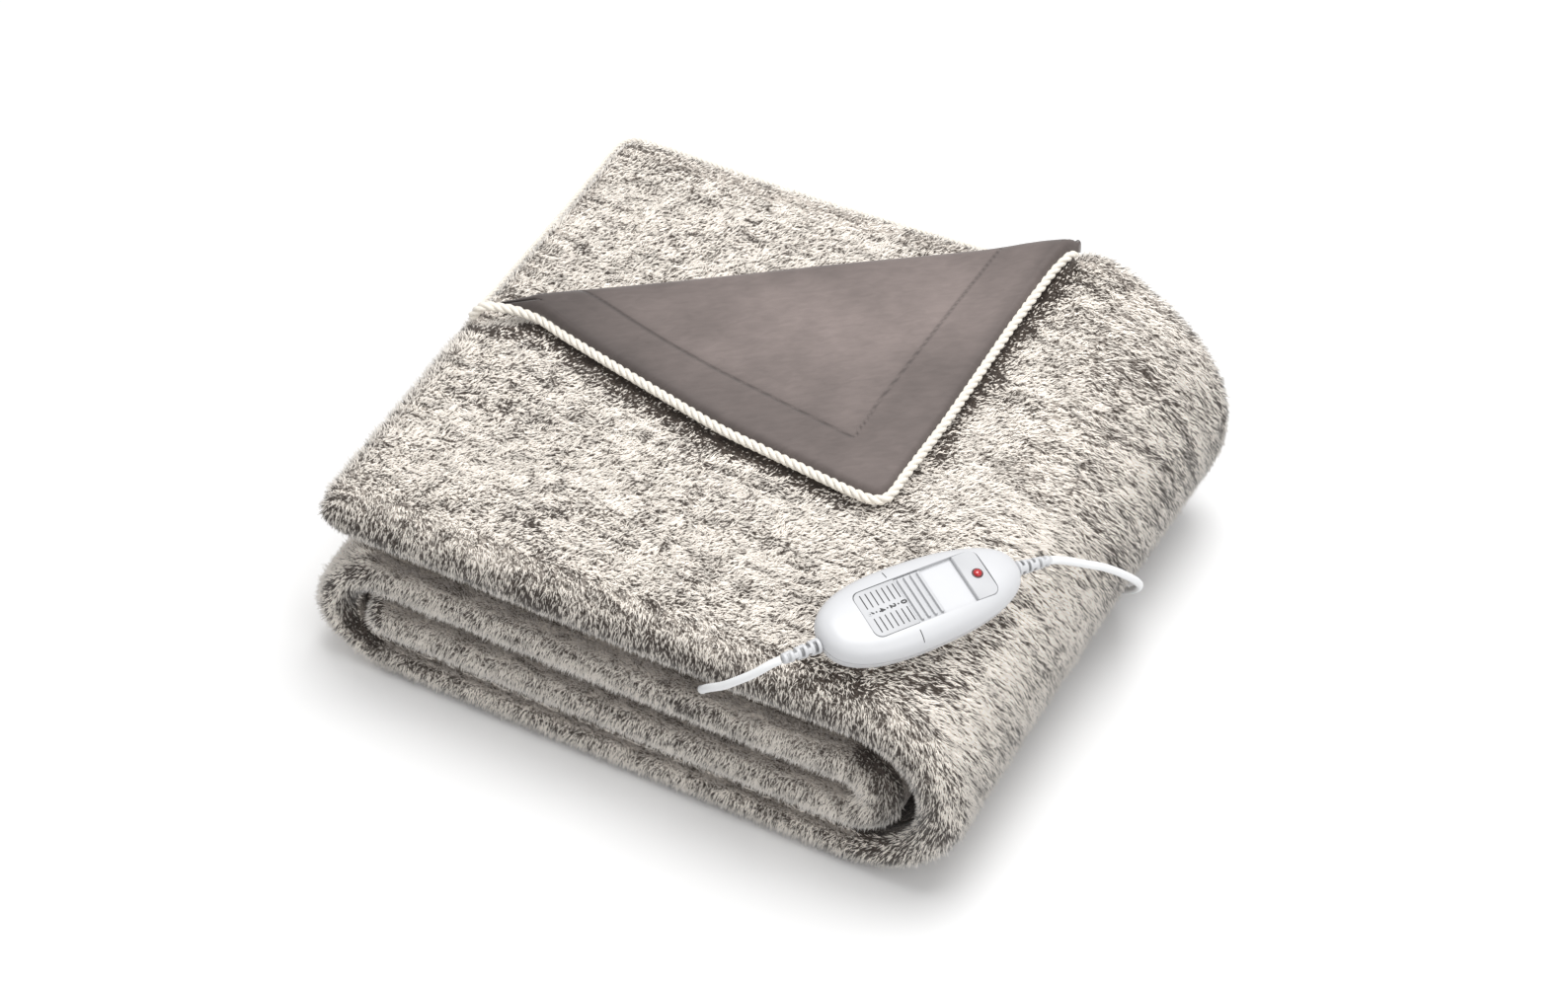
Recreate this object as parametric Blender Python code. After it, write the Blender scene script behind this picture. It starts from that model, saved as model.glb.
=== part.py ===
# Electric heated blanket, folded for the shelf, with its hand switch, mains lead and plug.
# Metres, +Z up. The stack lies on z = 0 and the origin is under its middle.
import math

import bmesh
import bpy
from mathutils import Matrix, Vector

# The cloth: 1.80 x 1.30 m, folded in three across its width and then in four along its length.
# Neat coordinates run from the left end of the top layer (x), the front rims (y) and the floor (z).
STACK_DEPTH = 0.412
STACK_HEIGHT = 0.1616
LAYERS = {  # underside and upper side of each layer of the bundle
    "base": (0.0, 0.0270),
    "inner": (0.0280, 0.0680),
    "middle": (0.0690, 0.1105),
    "top": (0.1115, STACK_HEIGHT),
}
INNER_END_X = 0.0235        # rounded end of the innermost layer
INNER_NOSE_X = 0.3865       # centre of the fold between inner and middle layer
LEFT_WRAP_X = 0.0427        # centre of the fold between middle and base layer
NOSE_X = 0.3878             # centre of the big fold between base and top layer
RIM_ANGLES = (14.0, 38.0, 64.0, 90.0)
RUN_STATIONS = 8            # stations between the two rounded rims
END_STEPS = 5

# How the real stack departs from the neat one.
CENTRE_X = 0.23659
CENTRE_Y = 0.20572
BACK_LOFT = 0.113           # the layers lie looser towards the back
CORNER_LOFT = 0.05          # and loosest at the back right
RIGHT_SPREAD = 0.047
SPREAD_POWER = 1.7
RIPPLE = 0.0011
WRAP_SAG = 0.0085           # the left fold hangs out at its foot
EDGE_INSET = 0.0038         # the ply that shows behind the crease starts further in
BACK_SAG = 0.0055
BACK_BULGE = 0.017          # the turned corner lifts the back edge where it ends
BULGE_PLACE = (0.377, 0.412)
BULGE_SPREAD = (0.046, 0.075)

# The turned corner: the crease starts at CREASE_START and runs CREASE_TURN from the x axis.
CREASE_START = (0.028, 0.184)
CREASE_TURN = math.radians(34.45)
CREASE_FIRST = 0.009
CREASE_LENGTH = 0.389
CREASE_STATIONS = 40
PIPING_LINE = (  # middle of the piping: distance along the crease and in front of it
    (-0.0040, -0.0064), (0.0066, -0.0050), (0.0170, -0.0022), (0.0246, 0.0018), (0.0322, 0.0068),
    (0.0401, 0.0154), (0.0485, 0.0251), (0.0762, 0.0546), (0.1088, 0.0891), (0.1410, 0.1238),
    (0.1670, 0.1478), (0.1886, 0.1672), (0.2060, 0.1830), (0.2200, 0.1950), (0.2290, 0.2010),
    (0.2370, 0.2018), (0.2440, 0.1950), (0.2510, 0.1845), (0.2670, 0.1622), (0.2834, 0.1393),
    (0.3090, 0.1010), (0.3349, 0.0627), (0.3540, 0.0365), (0.3695, 0.0165), (0.3800, 0.0060),
    (0.3895, -0.0020), (0.3985, -0.0090),
)
FLAP_LEAST = 0.0026
ROLL_LEAST = 0.12
FLAP_CLEAR = 0.0040         # from the middle of the piping to the turned ply
FLAP_ROWS = 8
PLY = 0.007
ROLL_RADIUS = 0.0095
ROLL_CENTRE = 0.003         # height of the roll's centre over the cloth
FLAP_TOP = 0.0085
ROLL_RISE = 0.004           # how much higher the flap stands at its roll
ROLL_FADE = 0.030
PLY_STEP = 0.0065           # the cloth behind the crease lies one ply lower
FOOT_DEPTH = 0.0095
RIM_HANG = 0.0105           # the turned corner follows the rounded edges only this far down
LINING = 0.0016
LINING_FOOT = 0.0029         # how far the lining stays over the lower ply behind the roll
GAP = 0.0003

PIPING_RADIUS = 0.0034
PIPING_HEIGHT = 0.0054
PIPING_LIFT = 0.0022
PIPING_PITCH = 0.0065       # from one strand to the next
PIPING_RINGS = 3            # rings for each strand
PIPING_SIDES = 6
PIPING_HOLLOW = 0.24        # how deep the groove between two strands goes
EDGE_PIPING_RADIUS = 0.0022
EDGE_PIPING_Z = 0.145
EDGE_PIPING_FRONT = 0.207
EDGE_PIPING_RIGHT = 0.300

# Hand switch: u runs along it towards the mains lead, v across it, w up from its underside.
SWITCH_SEAT = (0.3986, 0.0758, 0.1664)
SWITCH_TURN = math.radians(56.5)
SWITCH_LEAN = math.radians(10.4)
SWITCH_PITCH = math.radians(2.9)
SWITCH_HALF_LENGTH = 0.0702
SWITCH_HALF_WIDTH = 0.0302
SWITCH_TAPER = 0.10         # narrower towards the mains lead
SWITCH_POWER = 2.4
SWITCH_SIDES = 36
BASE_PROFILE = ((0.0, 0.0190), (0.0006, 0.0150), (0.0025, 0.0095), (0.0060, 0.0045),
                (0.0110, 0.0012), (0.0160, 0.0))  # height, inset
TOP_PROFILE = ((0.0163, 0.0), (0.0190, 0.0004), (0.0225, 0.0018), (0.0250, 0.0042),
               (0.0268, 0.0078), (0.0277, 0.0118), (0.0281, 0.0165))
WELL_START = -0.0418
WELL_STOP = 0.0464
WELL_HALF_WIDTH = 0.0176
WELL_CORNER = 0.0055
WELL_FLOOR = 0.0248
SLIDER_START = -0.0413
SLIDER_STOP = 0.0076
SLIDER_TOP = 0.0277
SLIDER_TRAVEL = 0.022
RIBS = 4
RIB_FIRST = -0.0086
RIB_PITCH = 0.0047
RIB_WIDTH = 0.0018
RIB_HEIGHT = 0.0009
LAMP_PLATE_START = 0.0303
LAMP_U = 0.0394
LAMP_RADIUS = 0.0028
LAMP_HEIGHT = 0.0016
CORD_AXIS = 0.0145          # height of both cord outlets
RELIEF_LENGTH = 0.025
RELIEF_RADII = (0.0048, 0.0033)
RELIEF_GROOVES = 3
RELIEF_DIP = math.radians(11)

# Leads: routes chosen by hand, measured from the neat stack's corner like everything else.
CORD_DIAMETER = 0.0054
CORD_STEP = 0.0125
CLOTH_LEAD_ROUTE = (
    (0.3486, -0.0062, 0.1861), (0.3461, -0.0092, 0.1857), (0.3421, -0.0121, 0.1824),
    (0.3347, -0.0152, 0.1750), (0.3249, -0.0168, 0.1656), (0.3146, -0.0155, 0.1541),
    (0.3043, -0.0112, 0.1424), (0.2966, -0.0060, 0.1318), (0.2910, -0.0008, 0.1222),
    (0.2868, 0.0060, 0.1138),
)
MAINS_LEAD_ROUTE = (
    (0.4527, 0.1562, 0.1702), (0.4551, 0.1628, 0.1655), (0.4597, 0.1739, 0.1561),
    (0.4661, 0.1879, 0.1432), (0.4713, 0.2023, 0.1297), (0.4757, 0.2160, 0.1152),
    (0.4794, 0.2303, 0.0986), (0.4810, 0.2465, 0.0790), (0.4802, 0.2600, 0.0610),
    (0.4728, 0.2745, 0.0390), (0.4600, 0.2880, 0.0188), (0.4470, 0.3020, 0.0070),
    (0.4385, 0.3220, 0.0031), (0.4362, 0.3500, 0.0031), (0.4362, 0.3820, 0.0031),
    (0.4352, 0.4120, 0.0031), (0.4306, 0.4390, 0.0031), (0.4190, 0.4640, 0.0031),
    (0.4010, 0.4840, 0.0031), (0.3760, 0.4960, 0.0031), (0.3480, 0.4988, 0.0031),
    (0.3200, 0.4980, 0.0031), (0.3020, 0.4972, 0.0031), (0.2912, 0.4970, 0.0031),
)
PLUG_TAIL_ROUTE = ((0.2484, 0.4970, 0.0072), (0.2430, 0.4970, 0.0070), (0.2358, 0.4970, 0.0069))
COIL_CENTRE = (0.2698, 0.4624)
COIL_RADIUS = 0.0297        # middle of the turns, eleven diameters across
COIL_TURNS_WIDE = 3
COIL_PITCH = 0.0056
COIL_SIDES = 28

PLUG_END = (0.2355, 0.4970, 0.0069)    # where the cord enters, with the pins towards -x
PLUG_RELIEF_LENGTH = 0.022
PLUG_LENGTH = 0.033
PLUG_WIDTH = 0.0353
PLUG_NECK_WIDTH = 0.0125
PLUG_THICKNESS = 0.0136
PIN_SPACING = 0.019
PIN_RADIUS = 0.0020
PIN_LENGTH = 0.019


def clear_scene():
    for thing in list(bpy.data.objects):
        bpy.data.objects.remove(thing, do_unlink=True)


def finish_material(name, colour, roughness, metallic=0.0):
    material = bpy.data.materials.new(name)
    material.use_nodes = True
    shader = material.node_tree.nodes["Principled BSDF"]
    shader.inputs["Base Color"].default_value = (*colour, 1.0)
    shader.inputs["Roughness"].default_value = roughness
    shader.inputs["Metallic"].default_value = metallic
    return material


def add_object(name, mesh_data, material, smooth_angle=None):
    """Turns a bmesh into a named object of the scene with faces that point out."""
    bmesh.ops.recalc_face_normals(mesh_data, faces=mesh_data.faces[:])
    mesh = bpy.data.meshes.new(name)
    mesh_data.to_mesh(mesh)
    mesh_data.free()
    if material:
        mesh.materials.append(material)
    if smooth_angle:
        mesh.shade_smooth()
        mesh.set_sharp_from_angle(angle=math.radians(smooth_angle))
    thing = bpy.data.objects.new(name, mesh)
    bpy.context.scene.collection.objects.link(thing)
    return thing


def hide_helper(thing):
    thing.hide_render = True
    thing.display_type = "WIRE"


def add_boolean(thing, helper, operation):
    cut = thing.modifiers.new(helper.name, "BOOLEAN")
    cut.operation = operation
    cut.solver = "EXACT"
    cut.object = helper


def loft(rings, closed_ends=True):
    """Skins a row of rings of points, all with the same count, and closes both ends."""
    body = bmesh.new()
    rows = [[body.verts.new(point) for point in ring] for ring in rings]
    for first, second in zip(rows, rows[1:]):
        count = len(first)
        for i in range(count):
            j = (i + 1) % count
            body.faces.new((first[i], first[j], second[j], second[i]))
    if closed_ends:
        body.faces.new(rows[0])
        body.faces.new(rows[-1])
    return body


def drape(x, y, z):
    """Takes a point of the neat stack to where it lies in the real, uneven one."""
    back = max(y / STACK_DEPTH, 0.0)
    right = min(max(x / NOSE_X, 0.0), 1.0)
    high = z / STACK_HEIGHT
    spread = 1.0 + RIGHT_SPREAD * back ** SPREAD_POWER
    loosened = 1.0 + BACK_LOFT * back + CORNER_LOFT * right * back * back
    wave = math.sin(19.0 * x + 11.0 * y) + 0.6 * math.sin(31.0 * y - 9.0 * x + 1.0)
    rise = RIPPLE * wave * high
    along = min(max(x / 0.33, 0.0), 1.0)
    rise -= BACK_SAG * math.sin(math.pi * along) ** 2 * back ** 4 * high
    off_x = (x - BULGE_PLACE[0]) / BULGE_SPREAD[0]
    off_y = (y - BULGE_PLACE[1]) / BULGE_SPREAD[1]
    rise += BACK_BULGE * math.exp(-off_x * off_x - off_y * off_y) * high * high
    left = min(max((0.06 - x) / 0.06, 0.0), 1.2)
    push = 0.0
    if z < LAYERS["middle"][1] + 0.0004:
        push = -WRAP_SAG * math.cos(math.pi * z / LAYERS["middle"][1]) * left * left
    elif y > CREASE_START[1]:
        late = min((y - CREASE_START[1]) / 0.04, 1.0)
        push = EDGE_INSET * late * late * (3 - 2 * late) * left
    return Vector((x * spread + push - CENTRE_X, y - CENTRE_Y, z * loosened + rise))


def placed(route):
    """Takes points measured from the neat stack's corner to the part's own place."""
    return [(x - CENTRE_X, y - CENTRE_Y, z) for x, y, z in route]


# ---- folded cloth ----

def layer_middle(name):
    low, high = LAYERS[name]
    return (low + high) / 2


def layer_half(name):
    low, high = LAYERS[name]
    return (high - low) / 2


def straight(name, start, stop, steps):
    """Rows of (x, z, heading x, heading z, half thickness) along one layer."""
    heading = math.copysign(1.0, stop - start)
    middle = layer_middle(name)
    half = layer_half(name)
    return [(start + (stop - start) * i / steps, middle, heading, 0.0, half)
            for i in range(steps + 1)]


def fold(x, first, second, start_angle, steps):
    """Rows around the half turn from one layer to another, without its two ends."""
    low, high = sorted((layer_middle(first), layer_middle(second)))
    radius = (high - low) / 2
    rows = []
    for i in range(1, steps):
        share = i / steps
        angle = start_angle + math.pi * share
        blend = (1 - math.cos(math.pi * share)) / 2
        half = layer_half(first) * (1 - blend) + layer_half(second) * blend
        rows.append((x + radius * math.cos(angle), (low + high) / 2 + radius * math.sin(angle),
                     -math.sin(angle), math.cos(angle), half))
    return rows


def bundle_path():
    """The middle line of the bundle from its inner end to the free end of the top layer."""
    rows = straight("inner", INNER_END_X + layer_half("inner"), INNER_NOSE_X, 8)
    rows += fold(INNER_NOSE_X, "inner", "middle", -math.pi / 2, 9)
    rows += straight("middle", INNER_NOSE_X, LEFT_WRAP_X, 8)
    rows += fold(LEFT_WRAP_X, "middle", "base", math.pi / 2, 11)
    rows += straight("base", LEFT_WRAP_X, NOSE_X, 8)
    rows += fold(NOSE_X, "base", "top", -math.pi / 2, 15)
    rows += straight("top", NOSE_X, layer_half("top"), 11)
    return rows


def rounded_end(row, turn, depth, share):
    """Points around the rounded end of the bundle, from one side to the other."""
    x, z, along_x, along_z, half = row
    points = []
    for i in range(1, END_STEPS + 1):
        angle = math.pi * i / (END_STEPS + 1)
        side = turn * half * share * math.cos(angle)
        out = turn * half * share * math.sin(angle)
        points.append((x - along_z * side + along_x * out, depth(half),
                       z + along_x * side + along_z * out))
    return points


def bundle_ring(rows, depth, share):
    """One closed outline of the bundle, with its thickness scaled to share."""
    left = [(x - dz * half * share, depth(half), z + dx * half * share)
            for x, z, dx, dz, half in rows]
    right = [(x + dz * half * share, depth(half), z - dx * half * share)
             for x, z, dx, dz, half in rows]
    far_end = rounded_end(rows[-1], 1.0, depth, share)
    near_end = rounded_end(rows[0], -1.0, depth, share)
    return left, far_end, right[::-1], near_end


def rim_depth(angle, at_back):
    """How far a rim's outline at this angle lies from the front, for a half thickness."""
    inset = 1 - math.cos(angle)
    if at_back:
        return lambda half: STACK_DEPTH - half * inset
    return lambda half: half * inset


def cloth_body(rows):
    stations = [(rim_depth(math.radians(a), False), math.sin(math.radians(a))) for a in RIM_ANGLES]
    widest = layer_half("top")
    for i in range(1, RUN_STATIONS):
        y = widest + (STACK_DEPTH - 2 * widest) * i / RUN_STATIONS
        stations.append((lambda half, y=y: y, 1.0))
    stations += [(rim_depth(math.radians(a), True), math.sin(math.radians(a)))
                 for a in RIM_ANGLES[::-1]]
    body = bmesh.new()
    grid = []
    for depth, share in stations:
        parts = bundle_ring(rows, depth, share)
        grid.append([body.verts.new(drape(*point)) for part in parts for point in part])
    for first, second in zip(grid, grid[1:]):
        for i in range(len(first)):
            j = (i + 1) % len(first)
            body.faces.new((first[i], first[j], second[j], second[i]))
    length = len(rows)
    for ring in (grid[0], grid[-1]):
        left = ring[:length]
        far_end = ring[length:length + END_STEPS]
        right = ring[length + END_STEPS:2 * length + END_STEPS][::-1]
        near_end = ring[2 * length + END_STEPS:]
        for i in range(length - 1):
            body.faces.new((left[i], left[i + 1], right[i + 1], right[i]))
        body.faces.new([left[-1], *far_end, right[-1]])
        body.faces.new([right[0], *near_end, left[0]])
    return body


def top_level(x, y):
    """Neat height of the top layer, with its rounded rims and the start of the big fold."""
    rim = layer_half("top")
    drop = 0.0
    for into in (rim - y, y - (STACK_DEPTH - rim), rim - x):
        if into > 0:
            drop += rim - math.sqrt(max(rim * rim - into * into, 0.0))
    return STACK_HEIGHT - drop


def crease_place(s, w):
    """Neat x and y of a point s along the crease and w in front of it."""
    x = CREASE_START[0] + s * math.cos(CREASE_TURN) + w * math.sin(CREASE_TURN)
    y = CREASE_START[1] + s * math.sin(CREASE_TURN) - w * math.cos(CREASE_TURN)
    return x, y


def crease_point(s, w, h):
    """World point s along the crease, w in front of it and h above the top layer."""
    x, y = crease_place(s, w)
    level = max(top_level(x, y), STACK_HEIGHT - RIM_HANG)
    return drape(x, y, level + h)


def edge_line():
    """The free edge of the turned ply: the piping's line, moved back by its clearance."""
    line = []
    last = len(PIPING_LINE) - 1
    for i, (s, w) in enumerate(PIPING_LINE):
        before = PIPING_LINE[max(i - 1, 0)]
        after = PIPING_LINE[min(i + 1, last)]
        along = math.hypot(after[0] - before[0], after[1] - before[1])
        line.append((s + FLAP_CLEAR * (after[1] - before[1]) / along,
                     w - FLAP_CLEAR * (after[0] - before[0]) / along))
    return line


def flap_reach(s, line):
    """Distance from the crease to the free edge; below zero where the roll starts."""
    for first, second in zip(line, line[1:]):
        if first[0] <= s <= second[0]:
            share = (s - first[0]) / (second[0] - first[0])
            return first[1] + (second[1] - first[1]) * share
    return line[0][1] if s < line[0][0] else line[-1][1]


def flap_top(w):
    return FLAP_TOP + ROLL_RISE * math.exp(-(w / ROLL_FADE) ** 2)


def roll_share(reach):
    """How wide the roll is: it grows out of nothing at both ends of the crease."""
    full = max(reach, FLAP_LEAST) + ROLL_RADIUS
    return max((reach + ROLL_RADIUS) / full, ROLL_LEAST)


def squeeze(w, share):
    return (w + ROLL_RADIUS) * share - ROLL_RADIUS


def roll_rise(s, share):
    """The roll starts flat at the left edge but is cut off at full height at the back."""
    return 0.25 + 0.75 * share if s < CREASE_LENGTH / 2 else 1.0


def roll_arc(share, rise, clear):
    """Points of the roll from behind it to its top, this far outside the ply."""
    arc = []
    for degrees in (180, 153, 126, 104):
        c = math.cos(math.radians(degrees))
        s = math.sin(math.radians(degrees))
        arc.append((squeeze(ROLL_RADIUS * c, share) + clear * c,
                    (ROLL_CENTRE + ROLL_RADIUS * s) * rise + clear * s))
    return arc


def flap_rows(start, reach):
    """Distances from the crease, closer together near the roll."""
    edge = reach - 0.0012
    return [start + (edge - start) * (i / FLAP_ROWS) ** 1.5 for i in range(FLAP_ROWS + 1)]


def flap_section(s, true_reach):
    """Outline (w, h) of the turned ply across the crease."""
    share = roll_share(true_reach)
    rise = roll_rise(s, share)
    reach = max(true_reach, FLAP_LEAST)
    outline = [(-ROLL_RADIUS, -FOOT_DEPTH)] + roll_arc(share, rise, 0.0)
    outline += [(squeeze(w, share), flap_top(w) * rise) for w in flap_rows(0.0, reach)]
    outline.append((squeeze(reach, share), (flap_top(reach) - PLY / 2) * rise))
    hollow = min(0.0045, reach / 2)
    outline += [(squeeze(w, share), (flap_top(w) - PLY) * rise)
                for w in flap_rows(hollow, reach)[::-1]]
    outline.append((squeeze(hollow * 0.8, share), -FOOT_DEPTH))
    return outline


def crease_stations():
    return [CREASE_FIRST + (CREASE_LENGTH - CREASE_FIRST) * i / CREASE_STATIONS
            for i in range(CREASE_STATIONS + 1)]


def flap_body():
    line = edge_line()
    rings = []
    for s in crease_stations():
        rings.append([crease_point(s, w, h) for w, h in flap_section(s, flap_reach(s, line))])
    return loft(rings)


def step_cutter():
    """Takes one ply off the top layer behind the crease."""
    body = bmesh.new()
    columns = 27
    across = 24
    lower = []
    upper = []
    for i in range(columns + 1):
        s = -0.12 + 0.66 * i / columns
        low_row = []
        high_row = []
        for j in range(across + 1):
            w = -0.002 - 0.40 * j / across
            x, y = crease_place(s, w)
            low_row.append(body.verts.new(drape(x, y, STACK_HEIGHT - PLY_STEP)))
            high_row.append(body.verts.new(drape(x, y, STACK_HEIGHT + 0.06)))
        lower.append(low_row)
        upper.append(high_row)
    for grid in (lower, upper):
        for first, second in zip(grid, grid[1:]):
            for j in range(across):
                body.faces.new((first[j], first[j + 1], second[j + 1], second[j]))
    for i in range(columns):
        for j in (0, across):
            body.faces.new((lower[i][j], lower[i + 1][j], upper[i + 1][j], upper[i][j]))
    for j in range(across):
        for i in (0, columns):
            body.faces.new((lower[i][j], lower[i][j + 1], upper[i][j + 1], upper[i][j]))
    return body


def build_cloth(fur, helper_fur):
    cloth = add_object("folded_cloth", cloth_body(bundle_path()), fur, 50)
    cutter = add_object("ply_step", step_cutter(), helper_fur)
    hide_helper(cutter)
    flap = add_object("turned_ply", flap_body(), helper_fur)
    hide_helper(flap)
    add_boolean(cloth, cutter, "DIFFERENCE")
    add_boolean(cloth, flap, "UNION")


def lining_section(s, true_reach):
    """World outline of the lining that lies on the turned ply and its roll."""
    share = roll_share(true_reach)
    rise = roll_rise(s, share)
    reach = max(true_reach, FLAP_LEAST)
    skins = []
    for clear in (GAP, GAP + LINING):
        x, y = crease_place(s, -ROLL_RADIUS - clear)
        lowest = STACK_HEIGHT - RIM_HANG - 0.004
        foot = max(min(top_level(x, y), STACK_HEIGHT - PLY_STEP), lowest) + LINING_FOOT
        skin = roll_arc(share, rise, clear)
        skin += [(squeeze(w, share), flap_top(w) * rise + clear) for w in flap_rows(0.0, reach)]
        skins.append([drape(x, y, foot)] + [crease_point(s, w, h) for w, h in skin])
    return skins[0] + skins[1][::-1]


def build_lining(velour):
    line = edge_line()
    rings = []
    for s in crease_stations():
        rings.append(lining_section(s, flap_reach(s, line)))
    add_object("flap_lining", loft(rings), velour, 50)


# ---- piping ----

def smooth_route(points, step):
    """Even points on a smooth curve through the route's own points."""
    route = [Vector(point) for point in points]
    ends = [route[0] * 2 - route[1]] + route + [route[-1] * 2 - route[-2]]
    dense = []
    for a, b, c, d in zip(ends, ends[1:], ends[2:], ends[3:]):
        for i in range(24):
            t = i / 24
            dense.append(0.5 * (2 * b + (c - a) * t + (2 * a - 5 * b + 4 * c - d) * t * t
                                + (3 * b - a - 3 * c + d) * t ** 3))
    dense.append(route[-1])
    lengths = [0.0]
    for first, second in zip(dense, dense[1:]):
        lengths.append(lengths[-1] + (second - first).length)
    count = max(2, round(lengths[-1] / step))
    even = []
    k = 0
    for i in range(count + 1):
        wanted = lengths[-1] * i / count
        while k < len(lengths) - 2 and lengths[k + 1] < wanted:
            k += 1
        share = (wanted - lengths[k]) / max(lengths[k + 1] - lengths[k], 1e-9)
        even.append(dense[k].lerp(dense[k + 1], min(max(share, 0.0), 1.0)))
    return even


def sweep(points, section_at):
    """Skins the sections along a path; section_at gives (side, up) pairs for a station."""
    rings = []
    for i, point in enumerate(points):
        ahead = points[min(i + 1, len(points) - 1)]
        behind = points[max(i - 1, 0)]
        along = (ahead - behind).normalized()
        side = along.cross(Vector((0, 0, 1))).normalized()
        up = side.cross(along)
        rings.append([point + side * a + up * b for a, b in section_at(i)])
    return loft(rings)


def rope_section(i):
    """Two strands laid round each other: the outline turns half way for each strand."""
    turn = math.pi * i / PIPING_RINGS
    section = []
    for k in range(PIPING_SIDES):
        angle = 2 * math.pi * k / PIPING_SIDES
        radius = PIPING_RADIUS * (1 - PIPING_HOLLOW * (1 - math.cos(2 * angle)) / 1.5)
        section.append((radius * math.cos(angle + turn), radius * math.sin(angle + turn)))
    return section


def round_section(radius, sides):
    def section(_):
        return [(radius * math.cos(2 * math.pi * k / sides), radius * math.sin(2 * math.pi * k / sides))
                for k in range(sides)]
    return section


def piping_route():
    """Along the flap's free edge, with both ends tucked down at the crease."""
    route = [crease_point(-0.0115, -0.0085, 0.0006)]
    for s, w in PIPING_LINE:
        near_end = math.exp(-((s + 0.004) / 0.016) ** 2)
        route.append(crease_point(s, w, PIPING_HEIGHT + PIPING_LIFT * near_end))
    return route


def edge_piping_route():
    """Along the left and back edges of the ply that shows behind the crease."""
    rim = layer_half("top")
    drop = EDGE_PIPING_Z - layer_middle("top")
    reach = math.sqrt(rim * rim - drop * drop) + EDGE_PIPING_RADIUS + 2 * GAP
    y_turn = STACK_DEPTH - rim
    route = []
    for i in range(9):
        y = EDGE_PIPING_FRONT + (y_turn - EDGE_PIPING_FRONT) * i / 8
        route.append(drape(rim - reach, y, EDGE_PIPING_Z))
    for i in range(1, 6):
        angle = math.pi - math.pi / 2 * i / 6
        route.append(drape(rim + reach * math.cos(angle), y_turn + reach * math.sin(angle),
                           EDGE_PIPING_Z))
    for i in range(10):
        x = rim + (EDGE_PIPING_RIGHT - rim) * i / 9
        route.append(drape(x, y_turn + reach, EDGE_PIPING_Z))
    return route


def build_piping(rope):
    path = smooth_route(piping_route(), PIPING_PITCH / PIPING_RINGS)
    add_object("flap_piping", sweep(path, rope_section), rope, 60)
    path = smooth_route(edge_piping_route(), 0.012)
    add_object("edge_piping", sweep(path, round_section(EDGE_PIPING_RADIUS, 7)), rope, 60)


# ---- hand switch ----

def switch_frame():
    up = Vector((math.sin(SWITCH_LEAN), -math.sin(SWITCH_PITCH), math.cos(SWITCH_LEAN))).normalized()
    along = Vector((math.cos(SWITCH_TURN), math.sin(SWITCH_TURN), 0.0))
    along = (along - up * along.dot(up)).normalized()
    across = up.cross(along)
    frame = Matrix((along, across, up)).transposed().to_4x4()
    frame.translation = placed([SWITCH_SEAT])[0]
    return frame


def seat_on_switch(thing, stand, offset=(0.0, 0.0, 0.0)):
    thing.parent = stand
    thing.location = offset


def egg_ring(inset, height):
    ring = []
    for k in range(SWITCH_SIDES):
        angle = 2 * math.pi * (k + 0.5) / SWITCH_SIDES
        c = math.cos(angle)
        s = math.sin(angle)
        u = math.copysign(abs(c) ** (2 / SWITCH_POWER), c) * (SWITCH_HALF_LENGTH - inset)
        v = math.copysign(abs(s) ** (2 / SWITCH_POWER), s) * (SWITCH_HALF_WIDTH - inset)
        ring.append((u, v * (1 - SWITCH_TAPER * u / SWITCH_HALF_LENGTH), height))
    return ring


def rounded_box(start, stop, half_width, corner, low, high, round_start=True, round_stop=True):
    """A flat plate with rounded corners at one or both ends."""
    outline = []
    corners = ((stop, half_width, 0, round_stop), (start, half_width, 90, round_start),
               (start, -half_width, 180, round_start), (stop, -half_width, 270, round_stop))
    for u, v, first, is_round in corners:
        if not is_round:
            outline.append((u, v))
            continue
        centre_u = u - math.copysign(corner, u - (start + stop) / 2)
        centre_v = v - math.copysign(corner, v)
        for i in range(5):
            angle = math.radians(first + 90 * i / 4)
            outline.append((centre_u + corner * math.cos(angle), centre_v + corner * math.sin(angle)))
    return loft([[(u, v, low) for u, v in outline], [(u, v, high) for u, v in outline]])


def slider_profile():
    """Outline (u, w) of the slider seen from its side, with its ribs."""
    low = WELL_FLOOR + GAP
    outline = [(SLIDER_START - 0.002, low), (SLIDER_STOP, low), (SLIDER_STOP, SLIDER_TOP)]
    for i in reversed(range(RIBS)):
        middle = RIB_FIRST + RIB_PITCH * i
        outline += [(middle + RIB_WIDTH / 2, SLIDER_TOP), (middle + RIB_WIDTH / 5, SLIDER_TOP + RIB_HEIGHT),
                    (middle - RIB_WIDTH / 5, SLIDER_TOP + RIB_HEIGHT), (middle - RIB_WIDTH / 2, SLIDER_TOP)]
    outline.append((SLIDER_START - 0.002, SLIDER_TOP))
    return outline


def turned(profile, sides):
    """A solid turned about u from rows of (u, radius)."""
    rings = []
    for u, radius in profile:
        rings.append([(u, radius * math.cos(2 * math.pi * k / sides),
                       radius * math.sin(2 * math.pi * k / sides)) for k in range(sides)])
    return loft(rings)


def relief_profile(length, radii, grooves):
    """A tapered strain relief with a few grooves round it."""
    rows = []
    start, stop = radii
    land = length / (2 * grooves + 1)
    for i in range(2 * grooves + 1):
        depth = 0.0007 if i % 2 else 0.0
        for share in (i * land + 0.0002, (i + 1) * land - 0.0002):
            rows.append((share, start + (stop - start) * share / length - depth))
    return rows


def lamp_dome():
    rings = []
    for degrees in (0, 25, 50, 72):
        angle = math.radians(degrees)
        radius = LAMP_RADIUS * math.cos(angle)
        height = LAMP_HEIGHT * math.sin(angle)
        rings.append([(radius * math.cos(2 * math.pi * k / 14), radius * math.sin(2 * math.pi * k / 14),
                       height) for k in range(14)])
    return loft(rings)


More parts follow.
